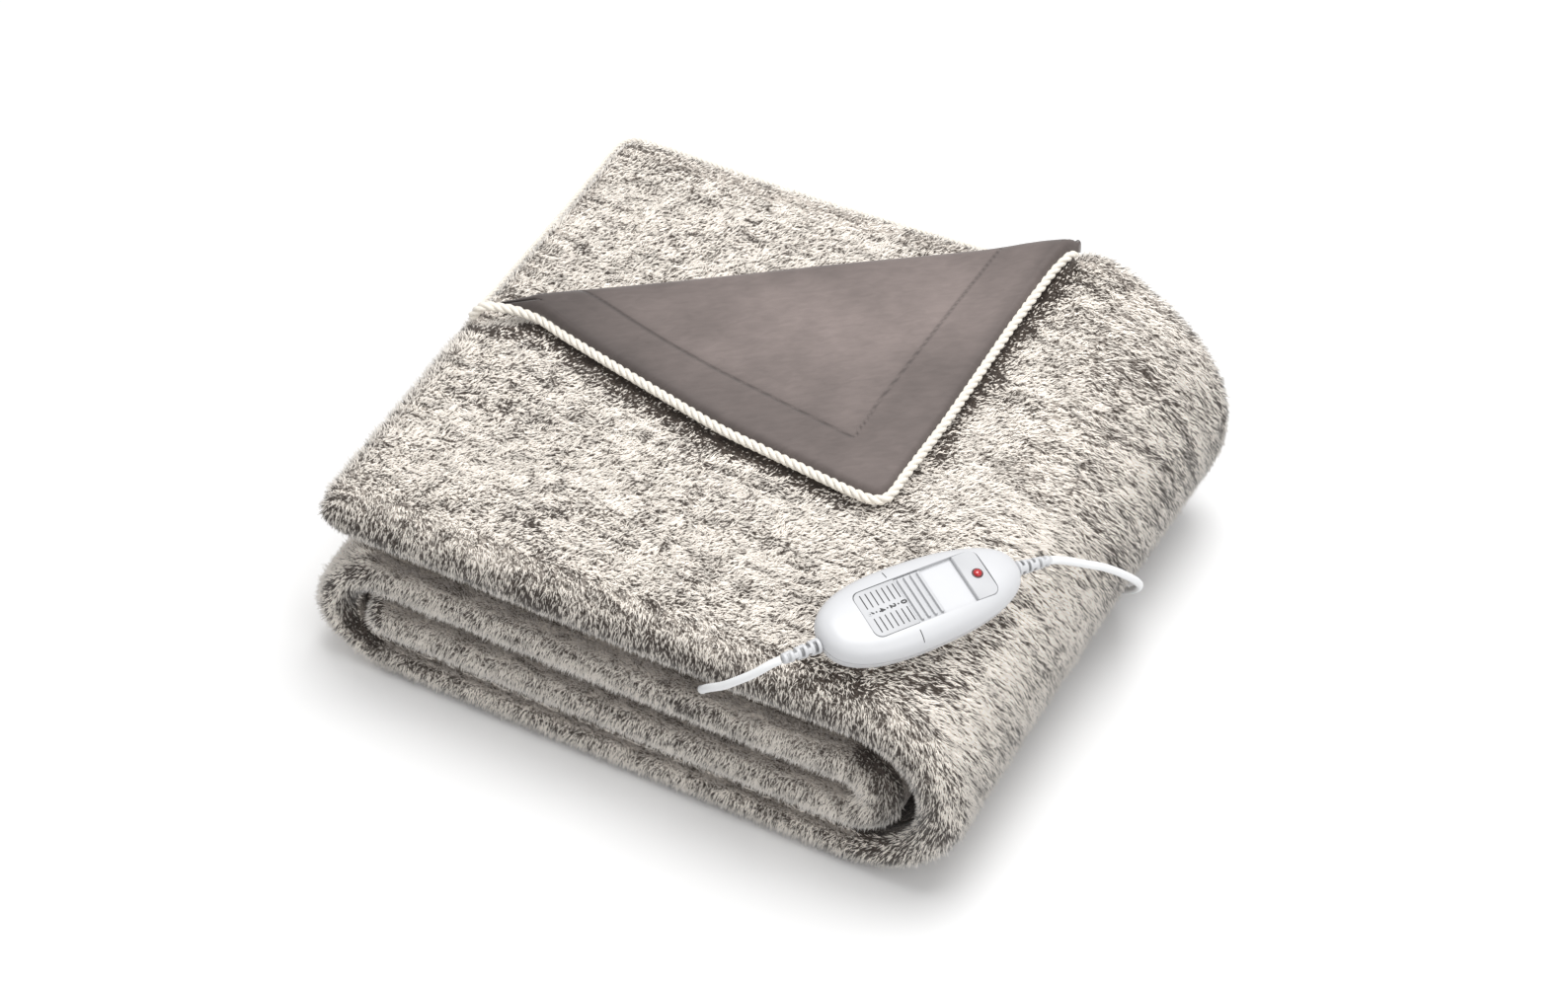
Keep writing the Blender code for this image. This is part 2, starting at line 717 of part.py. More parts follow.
def build_switch(gloss, lamp_red):
    stand = bpy.data.objects.new("switch_stand", None)
    bpy.context.scene.collection.objects.link(stand)
    stand.matrix_world = switch_frame()

    base = add_object("handset_base", loft([egg_ring(i, h) for h, i in BASE_PROFILE]), gloss, 35)
    seat_on_switch(base, stand)

    shell = add_object("handset_top", loft([egg_ring(i, h) for h, i in TOP_PROFILE]), gloss, 35)
    seat_on_switch(shell, stand)
    well = add_object("well_cutter", rounded_box(WELL_START, WELL_STOP, WELL_HALF_WIDTH,
                                                 WELL_CORNER, WELL_FLOOR, 0.04), None)
    seat_on_switch(well, stand)
    hide_helper(well)
    add_boolean(shell, well, "DIFFERENCE")

    half_width = WELL_HALF_WIDTH - GAP - 0.0002
    profile = slider_profile()
    slider = add_object("slide_switch", loft([[(u, v, w) for u, w in profile]
                                              for v in (-0.03, 0.03)]), gloss, 35)
    seat_on_switch(slider, stand)
    limits = add_object("slider_outline", rounded_box(SLIDER_START, WELL_STOP, half_width,
                                                      WELL_CORNER, 0.02, 0.04), None)
    seat_on_switch(limits, stand)
    hide_helper(limits)
    add_boolean(slider, limits, "INTERSECT")

    plate = add_object("lamp_plate", rounded_box(LAMP_PLATE_START, WELL_STOP - GAP,
                                                 WELL_HALF_WIDTH - GAP, WELL_CORNER - GAP,
                                                 WELL_FLOOR + GAP, SLIDER_TOP, round_start=False), gloss, 35)
    seat_on_switch(plate, stand)
    lamp = add_object("lamp_lens", lamp_dome(), lamp_red, 60)
    seat_on_switch(lamp, stand, (LAMP_U, 0.0, SLIDER_TOP + GAP))

    profile = relief_profile(RELIEF_LENGTH, RELIEF_RADII, RELIEF_GROOVES)
    for name, turn, dip, u in (("relief_mains_side", 0.0, RELIEF_DIP, SWITCH_HALF_LENGTH + 0.0006),
                               ("relief_cloth_side", math.pi, 0.0, -SWITCH_HALF_LENGTH - 0.0004)):
        relief = add_object(name, turned(profile, 14), gloss, 35)
        seat_on_switch(relief, stand, (u, 0.0, CORD_AXIS))
        relief.rotation_euler = (0.0, dip, turn)


# ---- leads and plug ----

def build_tube(name, route, white):
    """A cord as a curve with a bevel and filled ends."""
    points = smooth_route(placed(route), CORD_STEP)
    curve = bpy.data.curves.new(name, "CURVE")
    curve.dimensions = "3D"
    curve.bevel_depth = CORD_DIAMETER / 2
    curve.bevel_resolution = 3
    curve.use_fill_caps = True
    spline = curve.splines.new("POLY")
    spline.points.add(len(points) - 1)
    for target, point in zip(spline.points, points):
        target.co = (*point, 1.0)
    curve.materials.append(white)
    bpy.context.scene.collection.objects.link(bpy.data.objects.new(name, curve))


def build_coil(white):
    """The closed outer shape of the wound lead."""
    half_width = COIL_PITCH * COIL_TURNS_WIDE / 2
    height = COIL_PITCH * COIL_TURNS_WIDE
    chamfer = 0.0016
    outline = [(-half_width, chamfer), (-half_width + chamfer, 0.0004), (half_width - chamfer, 0.0004),
               (half_width, chamfer), (half_width, height - chamfer), (half_width - chamfer, height),
               (-half_width + chamfer, height), (-half_width, height - chamfer)]
    body = bmesh.new()
    section = [body.verts.new((COIL_RADIUS + r, 0.0, z)) for r, z in outline]
    edges = [body.edges.new((a, b)) for a, b in zip(section, section[1:] + section[:1])]
    bmesh.ops.spin(body, geom=section + edges, cent=(0, 0, 0), axis=(0, 0, 1),
                   angle=2 * math.pi, steps=COIL_SIDES, use_merge=True)
    coil = add_object("lead_coil", body, white, 40)
    coil.location = placed([(*COIL_CENTRE, 0.0)])[0]


def plug_ring(x, width, thickness):
    """A flat six-sided outline across the plug."""
    half_w = width / 2
    half_t = thickness / 2
    shoulder = min(0.0045, half_w * 0.6)
    return [(x, half_w, 0.0), (x, half_w - shoulder, half_t), (x, shoulder - half_w, half_t),
            (x, -half_w, 0.0), (x, shoulder - half_w, -half_t), (x, half_w - shoulder, -half_t)]


def build_plug(white, brass):
    stand = bpy.data.objects.new("plug_stand", None)
    bpy.context.scene.collection.objects.link(stand)
    stand.location = placed([PLUG_END])[0]
    stand.rotation_euler = (0.0, 0.0, math.pi)
    relief = add_object("plug_relief", turned(relief_profile(PLUG_RELIEF_LENGTH, (0.0034, 0.0056), 3), 14),
                        white, 35)
    seat_on_switch(relief, stand)
    start = PLUG_RELIEF_LENGTH + 0.0001
    rings = []
    for share, width, thickness in ((0.0, PLUG_NECK_WIDTH, 0.0118), (0.30, 0.0200, 0.0130),
                                    (0.62, 0.0310, PLUG_THICKNESS), (0.80, PLUG_WIDTH, PLUG_THICKNESS),
                                    (1.0, PLUG_WIDTH, PLUG_THICKNESS)):
        rings.append(plug_ring(start + PLUG_LENGTH * share, width, thickness))
    body = add_object("plug_body", loft(rings), white, 35)
    seat_on_switch(body, stand)
    face = start + PLUG_LENGTH + GAP
    profile = ((0.0, PIN_RADIUS), (PIN_LENGTH - 0.0012, PIN_RADIUS), (PIN_LENGTH, PIN_RADIUS * 0.55))
    for name, side in (("plug_pin_left", 1), ("plug_pin_right", -1)):
        pin = add_object(name, turned(profile, 12), brass, 35)
        seat_on_switch(pin, stand, (face, side * PIN_SPACING / 2, 0.0))


def main():
    clear_scene()
    fur = finish_material("mottled_fur", (0.62, 0.56, 0.50), 0.95)
    velour = finish_material("taupe_velour", (0.27, 0.22, 0.20), 0.9)
    rope = finish_material("cream_rope", (0.83, 0.78, 0.69), 0.85)
    gloss = finish_material("white_gloss", (0.86, 0.87, 0.88), 0.3)
    white = finish_material("white_cord", (0.84, 0.85, 0.86), 0.45)
    lamp_red = finish_material("red_lamp", (0.62, 0.02, 0.03), 0.2)
    nickel = finish_material("pin_metal", (0.75, 0.73, 0.70), 0.3, 1.0)
    build_cloth(fur, fur)
    build_lining(velour)
    build_piping(rope)
    build_switch(gloss, lamp_red)
    build_tube("lead_cloth_side", CLOTH_LEAD_ROUTE, white)
    build_tube("lead_mains_run", MAINS_LEAD_ROUTE, white)
    build_tube("lead_plug_tail", PLUG_TAIL_ROUTE, white)
    build_coil(white)
    build_plug(white, nickel)


main()
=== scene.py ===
import math
from collections import namedtuple

import bmesh
import bpy
from mathutils import Matrix, Vector


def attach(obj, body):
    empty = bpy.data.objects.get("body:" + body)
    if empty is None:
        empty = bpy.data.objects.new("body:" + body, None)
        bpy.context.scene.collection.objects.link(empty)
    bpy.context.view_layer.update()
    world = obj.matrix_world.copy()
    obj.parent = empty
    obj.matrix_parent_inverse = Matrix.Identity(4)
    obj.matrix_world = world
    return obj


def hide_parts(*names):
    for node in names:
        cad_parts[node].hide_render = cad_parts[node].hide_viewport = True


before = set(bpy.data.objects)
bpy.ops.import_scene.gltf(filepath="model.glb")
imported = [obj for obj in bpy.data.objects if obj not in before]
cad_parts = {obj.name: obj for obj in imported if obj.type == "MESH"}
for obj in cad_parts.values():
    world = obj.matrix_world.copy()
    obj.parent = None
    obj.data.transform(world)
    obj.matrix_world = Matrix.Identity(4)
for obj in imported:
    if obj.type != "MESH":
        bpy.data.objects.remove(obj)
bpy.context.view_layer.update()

# the folded stack in its neat state: x from the left end of the top layer, y from the front rims
stack = {
    "depth": 0.412,
    "height": 0.1616,
    "layers": {  # underside and top of each
        "base": (0.0, 0.0270),
        "inner": (0.0280, 0.0680),
        "middle": (0.0690, 0.1105),
        "top": (0.1115, 0.1616),
    },
    "innerEndX": 0.0235,
    "innerNoseX": 0.3865,
    "leftWrapX": 0.0427,
    "noseX": 0.3878,
    "centre": (0.23659, 0.20572),
    "backLoft": 0.113,
    "cornerLoft": 0.05,
    "rightSpread": 0.047,
    "spreadPower": 1.7,
    "ripple": 0.0011,
    "rippleWaves": ((19.0, 11.0, 0.0, 1.0), (-9.0, 31.0, 1.0, 0.6)),  # turn per x, turn per y, shift, share
    "backSag": 0.0055,
    "sagLength": 0.33,
    "backBulge": 0.017,
    "bulgePlace": (0.377, 0.412),
    "bulgeSpread": (0.046, 0.075),
    "wrapSag": 0.0085,         # how far the left wrap's belly hangs out
    "wrapGap": 0.0004,
    "endLength": 0.06,         # what happens at the left end fades over this
    "endMost": 1.2,
    "edgeInset": 0.0038,
    "insetBlend": 0.04,
    "tipLoft": 0.0115,         # how far the pile cloth swells beside the tip of the turned corner
    "tipPlace": (0.361, 0.404),
    "tipSpread": 0.027,
    "tipBlend": 0.012,
}

# the turned corner: s runs along the crease, w in front of it
corner = {
    "start": (0.028, 0.184),
    "turn": math.radians(34.45),
    "first": 0.009,
    "length": 0.389,
    "line": (  # middle of the piping
        (-0.0040, -0.0064), (0.0066, -0.0050), (0.0170, -0.0022), (0.0246, 0.0018), (0.0322, 0.0068),
        (0.0401, 0.0154), (0.0485, 0.0251), (0.0762, 0.0546), (0.1088, 0.0891), (0.1410, 0.1238),
        (0.1670, 0.1478), (0.1886, 0.1672), (0.2060, 0.1830), (0.2200, 0.1950), (0.2290, 0.2010),
        (0.2370, 0.2018), (0.2440, 0.1950), (0.2510, 0.1845), (0.2670, 0.1622), (0.2834, 0.1393),
        (0.3090, 0.1010), (0.3349, 0.0627), (0.3540, 0.0365), (0.3695, 0.0165), (0.3800, 0.0060),
        (0.3895, -0.0020), (0.3985, -0.0090),
    ),
    "least": 0.0026,
    "leastShare": 0.12,
    "clear": 0.0040,
    "rollRadius": 0.0095,
    "rollCentre": 0.003,
    "top": 0.0085,
    "rollRise": 0.004,
    "rollFade": 0.030,
    "plyStep": 0.0065,
    "rimHang": 0.0105,
    "liningFoot": 0.0029,
}

# camera, floor and light
studio = {
    "cameraPlace": (0.65021, -1.24372, 1.5194),
    "cameraTurn": (44.333, 0.0, 27.448),
    "lens": 68.01,
    "clipEnd": 50,
    "floorSize": 9.0,
    "floorTint": (0.85, 0.85, 0.85),
    "floorRoughness": 0.7,
    "skyTint": (1.0, 1.0, 1.0),
    "sky": 0.66,
    "lampsAim": (0.0, 0.0, 0.1),
    "lamps": (  # name, place, size, watts
        ("topSoftbox", (0.22, 0.25, 2.3), 1.5, 45.5),
        ("sideSoftbox", (1.9, -0.9, 1.5), 1.2, 9.0),
    ),
}


def makeStudio():
    camera = addObject("photoCamera", bpy.data.cameras.new("photoCamera"))
    camera.location = studio["cameraPlace"]
    camera.rotation_euler = [math.radians(a) for a in studio["cameraTurn"]]
    camera.data.lens = studio["lens"]
    camera.data.clip_end = studio["clipEnd"]
    bpy.context.scene.camera = camera
    bpy.context.scene.view_settings.view_transform = "Standard"

    world = bpy.data.worlds.new("studioSky")
    world.use_nodes = True
    background = world.node_tree.nodes["Background"]
    background.inputs["Color"].default_value = (*studio["skyTint"], 1)
    background.inputs["Strength"].default_value = studio["sky"]
    bpy.context.scene.world = world
    for name, place, size, watts in studio["lamps"]:
        light = bpy.data.lights.new(name, "AREA")
        light.size = size
        light.energy = watts
        lamp = addObject(name, light)
        lamp.location = place
        lamp.rotation_euler = (Vector(studio["lampsAim"]) - Vector(place)).to_track_quat("-Z", "Y").to_euler()

    floor = bmesh.new()
    bmesh.ops.create_grid(floor, x_segments=1, y_segments=1, size=studio["floorSize"] / 2)
    pale, _, _ = newMaterial("floorPale", studio["floorTint"], studio["floorRoughness"])
    finishMesh("studioFloor", floor, pale)
    print("studio done")


# small tools for meshes, places and shares
def addObject(name, data):
    thing = bpy.data.objects.new(name, data)
    bpy.context.scene.collection.objects.link(thing)
    return thing


def finishMesh(name, shape, material=None, angle=None):
    mesh = bpy.data.meshes.new(name)
    shape.to_mesh(mesh)
    shape.free()
    if material:
        mesh.materials.append(material)
    mesh.shade_smooth()
    if angle:
        mesh.set_sharp_from_angle(angle=math.radians(angle))
    return addObject(name, mesh)


def settle(thing):
    bpy.context.view_layer.update()
    evaluated = thing.evaluated_get(bpy.context.evaluated_depsgraph_get())
    mesh = bpy.data.meshes.new_from_object(evaluated)
    thing.modifiers.clear()
    thing.data = mesh


def clamp(value, low=0.0, high=1.0):
    return min(max(value, low), high)


def between(first, second, share):
    return first + (second - first) * share


def ease(value, start, stop):
    # 0 at start and 1 at stop, with soft ends
    share = clamp((value - start) / (stop - start))
    return share * share * (3 - 2 * share)


def hump(value, middle, width):
    return math.exp(-((value - middle) / width) ** 2)


def drape(x, y, z):
    # takes a point of the neat stack to where it lies in the real one
    back = max(y / stack["depth"], 0.0)
    right = clamp(x / stack["noseX"])
    high = z / stack["height"]
    spread = 1.0 + stack["rightSpread"] * back ** stack["spreadPower"]
    loosened = 1.0 + stack["backLoft"] * back + stack["cornerLoft"] * right * back * back
    waves = stack["rippleWaves"]
    wave = sum(share * math.sin(perX * x + perY * y + shift) for perX, perY, shift, share in waves)
    sag = stack["backSag"] * math.sin(math.pi * clamp(x / stack["sagLength"])) ** 2 * back ** 4
    bulge = stack["backBulge"] * hump(x, stack["bulgePlace"][0], stack["bulgeSpread"][0])
    bulge *= hump(y, stack["bulgePlace"][1], stack["bulgeSpread"][1])
    rise = (stack["ripple"] * wave - sag + bulge * high) * high
    left = clamp((stack["endLength"] - x) / stack["endLength"], 0.0, stack["endMost"])
    lower = stack["layers"]["middle"][1]
    edgeStart = corner["start"][1]
    push = 0.0
    if z < lower + stack["wrapGap"]:
        push = -stack["wrapSag"] * math.cos(math.pi * z / lower) * left * left
    elif y > edgeStart:
        push = stack["edgeInset"] * ease(y, edgeStart, edgeStart + stack["insetBlend"]) * left
    return Vector((x * spread + push - stack["centre"][0], y - stack["centre"][1], z * loosened + rise))


def neatPlace(place):
    return place.x + stack["centre"][0], place.y + stack["centre"][1]


def topLevel(x, y):
    rim = (stack["layers"]["top"][1] - stack["layers"]["top"][0]) / 2
    drop = 0.0
    for into in (rim - y, y - (stack["depth"] - rim), rim - x):
        if into > 0:
            drop += rim - math.sqrt(max(rim * rim - into * into, 0.0))
    return stack["height"] - drop


def creasePlace(s, w):
    x = corner["start"][0] + s * math.cos(corner["turn"]) + w * math.sin(corner["turn"])
    y = corner["start"][1] + s * math.sin(corner["turn"]) - w * math.cos(corner["turn"])
    return x, y


def creaseShares(x, y):
    offX = x - corner["start"][0]
    offY = y - corner["start"][1]
    c = math.cos(corner["turn"])
    s = math.sin(corner["turn"])
    return offX * c + offY * s, offX * s - offY * c


def creasePoint(s, w, h):
    x, y = creasePlace(s, w)
    level = max(topLevel(x, y), stack["height"] - corner["rimHang"])
    return drape(x, y, level + h)


def smoothRoute(points, step, pieces=24):
    # even points on a smooth curve through the route's own points
    route = [Vector(point) for point in points]
    ends = [route[0] * 2 - route[1]] + route + [route[-1] * 2 - route[-2]]
    dense = []
    for a, b, c, d in zip(ends, ends[1:], ends[2:], ends[3:]):
        for i in range(pieces):
            t = i / pieces
            dense.append(0.5 * (2 * b + (c - a) * t + (2 * a - 5 * b + 4 * c - d) * t * t
                                + (3 * b - a - 3 * c + d) * t ** 3))
    dense.append(route[-1])
    lengths = [0.0]
    for first, second in zip(dense, dense[1:]):
        lengths.append(lengths[-1] + (second - first).length)
    count = max(2, round(lengths[-1] / step))
    even = []
    k = 0
    for i in range(count + 1):
        wanted = lengths[-1] * i / count
        while k < len(lengths) - 2 and lengths[k + 1] < wanted:
            k += 1
        share = (wanted - lengths[k]) / max(lengths[k + 1] - lengths[k], 1e-9)
        even.append(dense[k].lerp(dense[k + 1], clamp(share)))
    return even


def routeLength(points):
    return sum((b - a).length for a, b in zip(points, points[1:]))


# short words for the nodes of a material or a geometry tree
def newMaterial(name, tint=None, roughness=0.5, **values):
    material = bpy.data.materials.new(name)
    material.use_nodes = True
    shader = material.node_tree.nodes["Principled BSDF"]
    shader.inputs["Roughness"].default_value = roughness
    if tint:
        shader.inputs["Base Color"].default_value = (*tint, 1)
    for socket, value in values.items():
        shader.inputs[socket.replace("_", " ")].default_value = value
    return material, material.node_tree, shader


def addNode(tree, kind, values=None, **settings):
    node = tree.nodes.new(kind)
    for name, value in settings.items():
        setattr(node, name, value)
    for socket, value in (values or {}).items():
        if isinstance(value, bpy.types.NodeSocket):
            tree.links.new(value, node.inputs[socket])
        else:
            node.inputs[socket].default_value = value
    return node


def readAttribute(tree, name, output="Fac"):
    node = tree.nodes.new("ShaderNodeAttribute")
    node.attribute_name = name
    return node.outputs[output]


def plainMath(tree, operation, a, b=0.0, limited=False):
    return addNode(tree, "ShaderNodeMath", {0: a, 1: b}, operation=operation, use_clamp=limited).outputs[0]


def plus(tree, a, b):
    return plainMath(tree, "ADD", a, b)


def minus(tree, a, b):
    return plainMath(tree, "SUBTRACT", a, b)


def times(tree, a, b):
    return plainMath(tree, "MULTIPLY", a, b)


def bell(tree, a):
    return plainMath(tree, "EXPONENT", times(tree, times(tree, a, a), -1.0))


def vectorMath(tree, operation, a, b=None):
    values = {0: a}
    if b is not None:
        values["Scale" if operation == "SCALE" else 1] = b
    return addNode(tree, "ShaderNodeVectorMath", values, operation=operation).outputs[0]


def mapRange(tree, value, source, target=(0.0, 1.0), interpolation="LINEAR"):
    values = {"Value": value, "From Min": source[0], "From Max": source[1]}
    values.update({"To Min": target[0], "To Max": target[1]})
    return addNode(tree, "ShaderNodeMapRange", values, interpolation_type=interpolation).outputs[0]


def mixColours(tree, share, first, second):
    first, second = [(*tint, 1) if isinstance(tint, tuple) else tint for tint in (first, second)]
    return addNode(tree, "ShaderNodeMix", {0: share, 6: first, 7: second}, data_type="RGBA").outputs[2]


def noise(tree, place, scale, detail, output=0, **more):
    values = {"Vector": place, "Scale": scale, "Detail": detail, **more}
    return addNode(tree, "ShaderNodeTexNoise", values).outputs[output]


def bump(tree, height, strength, distance):
    values = {"Strength": strength, "Distance": distance, "Height": height}
    return addNode(tree, "ShaderNodeBump", values).outputs[0]


def feed(tree, shader, **sources):
    for socket, source in sources.items():
        tree.links.new(source, shader.inputs[socket.replace("_", " ")])


# the look of the pile's hairs and of the ground under them
pileLook = {
    "root": (0.078, 0.058, 0.045),
    "tip": (0.95, 0.885, 0.805),
    # painted shade: a shaded copy of the pile's colours, used where the shade band lies
    "shadedRoot": (0.34, 0.305, 0.28),
    "shadedTip": (0.60, 0.54, 0.495),
    "alongShare": 0.60,
    "base": 0.245,
    "streakMiddle": 0.39,
    "streakSwing": 5.0,
    # painted shade: how far pressing darkens the pile
    "pressShade": 0.95,
    "ramp": (0.0, 0.32),
    "ownNormal": 0.35,
    # painted shade: how much it darkens the pile, and how much it dims the painted glow
    "dusk": 0.19,
    "glowUnderShade": 0.62,
    # painted shade: the pile is darker in the valleys between its ridges
    "ridge": (0.36, 0.60),
    "valleyShade": 0.74,
    "paintedGlow": 0.31,         # painted glow: the pile gives out its own colour as light, standing in for light passed on from hair to hair
    "noises": (  # weight, stretch along and across the cloth, twist
        (0.25, (330.0, 760.0, 1.0), 0.5),
        (0.36, (36.0, 125.0, 1.0), 2.0),
        (0.17, (13.0, 24.0, 1.0), 0.8),
    ),
    "noiseDetail": 1.5,
}

groundLook = {
    "dark": (0.06, 0.046, 0.038),
    "light": (0.62, 0.56, 0.50),
    "hairs": (520.0, 1500.0, 1.0),
    "streakShare": 3.0,
    "hairShare": 1.5,
    # painted shade: how far pressing darkens the ground
    "pressShade": 1.2,
    "ramp": (1.55, 2.2),
}


def mottle(tree, place):
    # the uneven light and dark of the pile, as rows of it lie over each other; works in either kind of tree
    total = None
    noises = []
    for weight, stretch, twist in pileLook["noises"]:
        stretched = vectorMath(tree, "MULTIPLY", place, stretch)
        noises.append(noise(tree, stretched, 1.0, pileLook["noiseDetail"], Distortion=twist))
        part = times(tree, noises[-1], weight)
        total = plus(tree, total, part) if total else part
    return total, noises[1]


def pileMaterial():
    material, tree, shader = newMaterial("mottledPile", roughness=0.85, Sheen_Weight=0.7, Sheen_Roughness=0.5)
    along = readAttribute(tree, "along")
    dusk = readAttribute(tree, "dusk")
    streak = minus(tree, readAttribute(tree, "streak"), pileLook["streakMiddle"])
    swing = times(tree, streak, pileLook["streakSwing"])
    level = plus(tree, times(tree, along, pileLook["alongShare"]), pileLook["base"])
    level = plus(tree, level, times(tree, swing, readAttribute(tree, "fleck")))
    # painted shade: pressed places are darkened towards the root colour
    level = minus(tree, level, times(tree, readAttribute(tree, "press"), pileLook["pressShade"]))
    ramp = mapRange(tree, level, pileLook["ramp"], interpolation="SMOOTHSTEP")
    lit = mixColours(tree, ramp, pileLook["root"], pileLook["tip"])
    # painted shade: a shaded copy of the colours, put where the shade band lies
    shaded = mixColours(tree, along, pileLook["shadedRoot"], pileLook["shadedTip"])
    hair = mixColours(tree, readAttribute(tree, "band"), lit, shaded)
    # painted shade in the valleys between the pile's ridges
    ridge = readAttribute(tree, "ridge")
    crest = mapRange(tree, ridge, pileLook["ridge"], (pileLook["valleyShade"], 1.0), "SMOOTHSTEP")
    # painted shade darkens the colour where it is marked
    light = minus(tree, 1.0, times(tree, dusk, pileLook["dusk"]))
    hair = vectorMath(tree, "SCALE", hair, times(tree, light, crest))
    # painted glow: the colour is also given out as light, less where painted shade lies
    openness = plainMath(tree, "SUBTRACT", 1.0, times(tree, dusk, pileLook["glowUnderShade"]), limited=True)
    # soft hair is lit nearly as the cloth under it is
    own = addNode(tree, "ShaderNodeNewGeometry").outputs["Normal"]
    own = vectorMath(tree, "SCALE", own, pileLook["ownNormal"])
    facing = vectorMath(tree, "ADD", own, readAttribute(tree, "ground", "Vector"))
    feed(tree, shader, Base_Color=hair, Emission_Color=vectorMath(tree, "SCALE", hair, openness),
         Normal=vectorMath(tree, "NORMALIZE", facing))
    shader.inputs["Emission Strength"].default_value = pileLook["paintedGlow"]
    return material


def groundMaterial():
    # the dense underpile seen between the tufts, with the same light and dark
    material, tree, shader = newMaterial("pileGround", roughness=0.9, Sheen_Weight=0.3, Sheen_Roughness=0.5)
    place = readAttribute(tree, "clothPlace", "Vector")
    streak, _ = mottle(tree, place)
    hairs = noise(tree, vectorMath(tree, "MULTIPLY", place, groundLook["hairs"]), 1.0, 2.0)
    level = times(tree, streak, groundLook["streakShare"])
    level = plus(tree, level, times(tree, hairs, groundLook["hairShare"]))
    # painted shade: pressed places are darkened
    level = minus(tree, level, times(tree, readAttribute(tree, "press"), groundLook["pressShade"]))
    ramp = mapRange(tree, level, groundLook["ramp"])
    feed(tree, shader, Base_Color=mixColours(tree, ramp, groundLook["dark"], groundLook["light"]),
         Normal=bump(tree, hairs, 0.6, 0.001))
    return material


# the folded cloth: one sheet, folded in three across and in four along
cloth = {
    "skinDepth": 0.0045,      # the ground of the pile lies this far inside the tips
    "thickness": 0.0016,
    "floorClear": 0.0008,
    "runSteps": {"inner": 28, "middle": 28, "base": 28, "top": 44},
    "foldSteps": (12, 14, 24),
    "endSteps": 6,
    "innerPly": 16,
    "innerTurn": 6,
    "plySteps": 40,
    "insideSteps": 16,
    "rimSteps": 12,
    "innerStart": 2.0,        # in half thicknesses from the front
    "innerStop": 1.5,         # and from the back
    "freeEdge": (1.0, 1.4, 1.8),
    "topEndRounding": 0.25,
    "hiddenEnd": 0.6,
    "stepPlace": (0.001, 0.007),   # behind the crease, where the turned ply's thickness is missing
}

# a place along the section of the bundle, and a place across the bundle
station = namedtuple("station", "x z dx dz half endAngle name")
spot = namedtuple("spot", "y outward zone")


def layerMiddle(name):
    return sum(stack["layers"][name]) / 2


def layerHalf(name):
    return (stack["layers"][name][1] - stack["layers"][name][0]) / 2


def straightRun(name, start, stop):
    steps = cloth["runSteps"][name]
    heading = math.copysign(1.0, stop - start)
    rest = (layerMiddle(name), heading, 0.0, layerHalf(name), 0.0, name)
    return [station(between(start, stop, i / steps), *rest) for i in range(steps + 1)]


def halfTurn(x, first, second, startAngle, steps, name):
    low, high = sorted((layerMiddle(first), layerMiddle(second)))
    radius = (high - low) / 2
    rows = []
    for i in range(1, steps):
        angle = startAngle + math.pi * i / steps
        half = between(layerHalf(first), layerHalf(second), (1 - math.cos(math.pi * i / steps)) / 2)
        rows.append(station(x + radius * math.cos(angle), (low + high) / 2 + radius * math.sin(angle),
                            -math.sin(angle), math.cos(angle), half, 0.0, name))
    return rows


def bundleRows():
    # stations from the inner end of the bundle to the free end of its top layer
    rows = straightRun("inner", stack["innerEndX"] + layerHalf("inner"), stack["innerNoseX"])
    rows += halfTurn(stack["innerNoseX"], "inner", "middle", -math.pi / 2, cloth["foldSteps"][0], "innerNose")
    rows += straightRun("middle", stack["innerNoseX"], stack["leftWrapX"])
    rows += halfTurn(stack["leftWrapX"], "middle", "base", math.pi / 2, cloth["foldSteps"][1], "leftWrap")
    rows += straightRun("base", stack["leftWrapX"], stack["noseX"])
    rows += halfTurn(stack["noseX"], "base", "top", -math.pi / 2, cloth["foldSteps"][2], "bigNose")
    rows += straightRun("top", stack["noseX"], layerHalf("top"))
    before = []
    after = []
    for i in range(1, cloth["endSteps"] + 1):
        angle = math.pi / 2 * i / cloth["endSteps"]
        before.append(rows[0]._replace(endAngle=-angle, name="innerEnd"))
        after.append(rows[-1]._replace(endAngle=angle, name="topEnd"))
    return before[::-1] + rows + after


def crossSection(half):
    # across the bundle; outward is negative on the outer side of the spiral
    skin = half - cloth["skinDepth"]
    back = stack["depth"] - half
    start = cloth["innerStart"] * half
    stop = stack["depth"] - cloth["innerStop"] * half
    points = []
    for i in range(cloth["innerPly"] + 1):
        points.append(spot(between(stop, start, i / cloth["innerPly"]), 0.0, "hidden"))
    for i in range(1, cloth["innerTurn"]):
        angle = math.pi / 2 + math.pi * i / cloth["innerTurn"]
        points.append(spot(start + skin / 2 * math.cos(angle), skin / 2 * (1 - math.sin(angle)), "hidden"))
    for i in range(cloth["insideSteps"] + 1):
        points.append(spot(between(start, back, i / cloth["insideSteps"]), skin, "inside"))
    for i in range(1, cloth["rimSteps"]):
        angle = math.pi / 2 - math.pi * i / cloth["rimSteps"]
        points.append(spot(back + skin * math.cos(angle), skin * math.sin(angle), "backRim"))
    for i in range(cloth["plySteps"] + 1):
        points.append(spot(between(back, half, i / cloth["plySteps"]), -skin, "outside"))
    for i in range(1, cloth["rimSteps"]):
        angle = -math.pi / 2 - math.pi * i / cloth["rimSteps"]
        points.append(spot(half + skin * math.cos(angle), skin * math.sin(angle), "frontRim"))
    for share in cloth["freeEdge"]:
        points.append(spot(share * half, skin, "inside"))
    return points


def rimShare(y, half):
    skin = half - cloth["skinDepth"]
    into = max(half - y, y - (stack["depth"] - half), 0.0)
    return math.sqrt(max(1 - (into / skin) ** 2, 0.0))


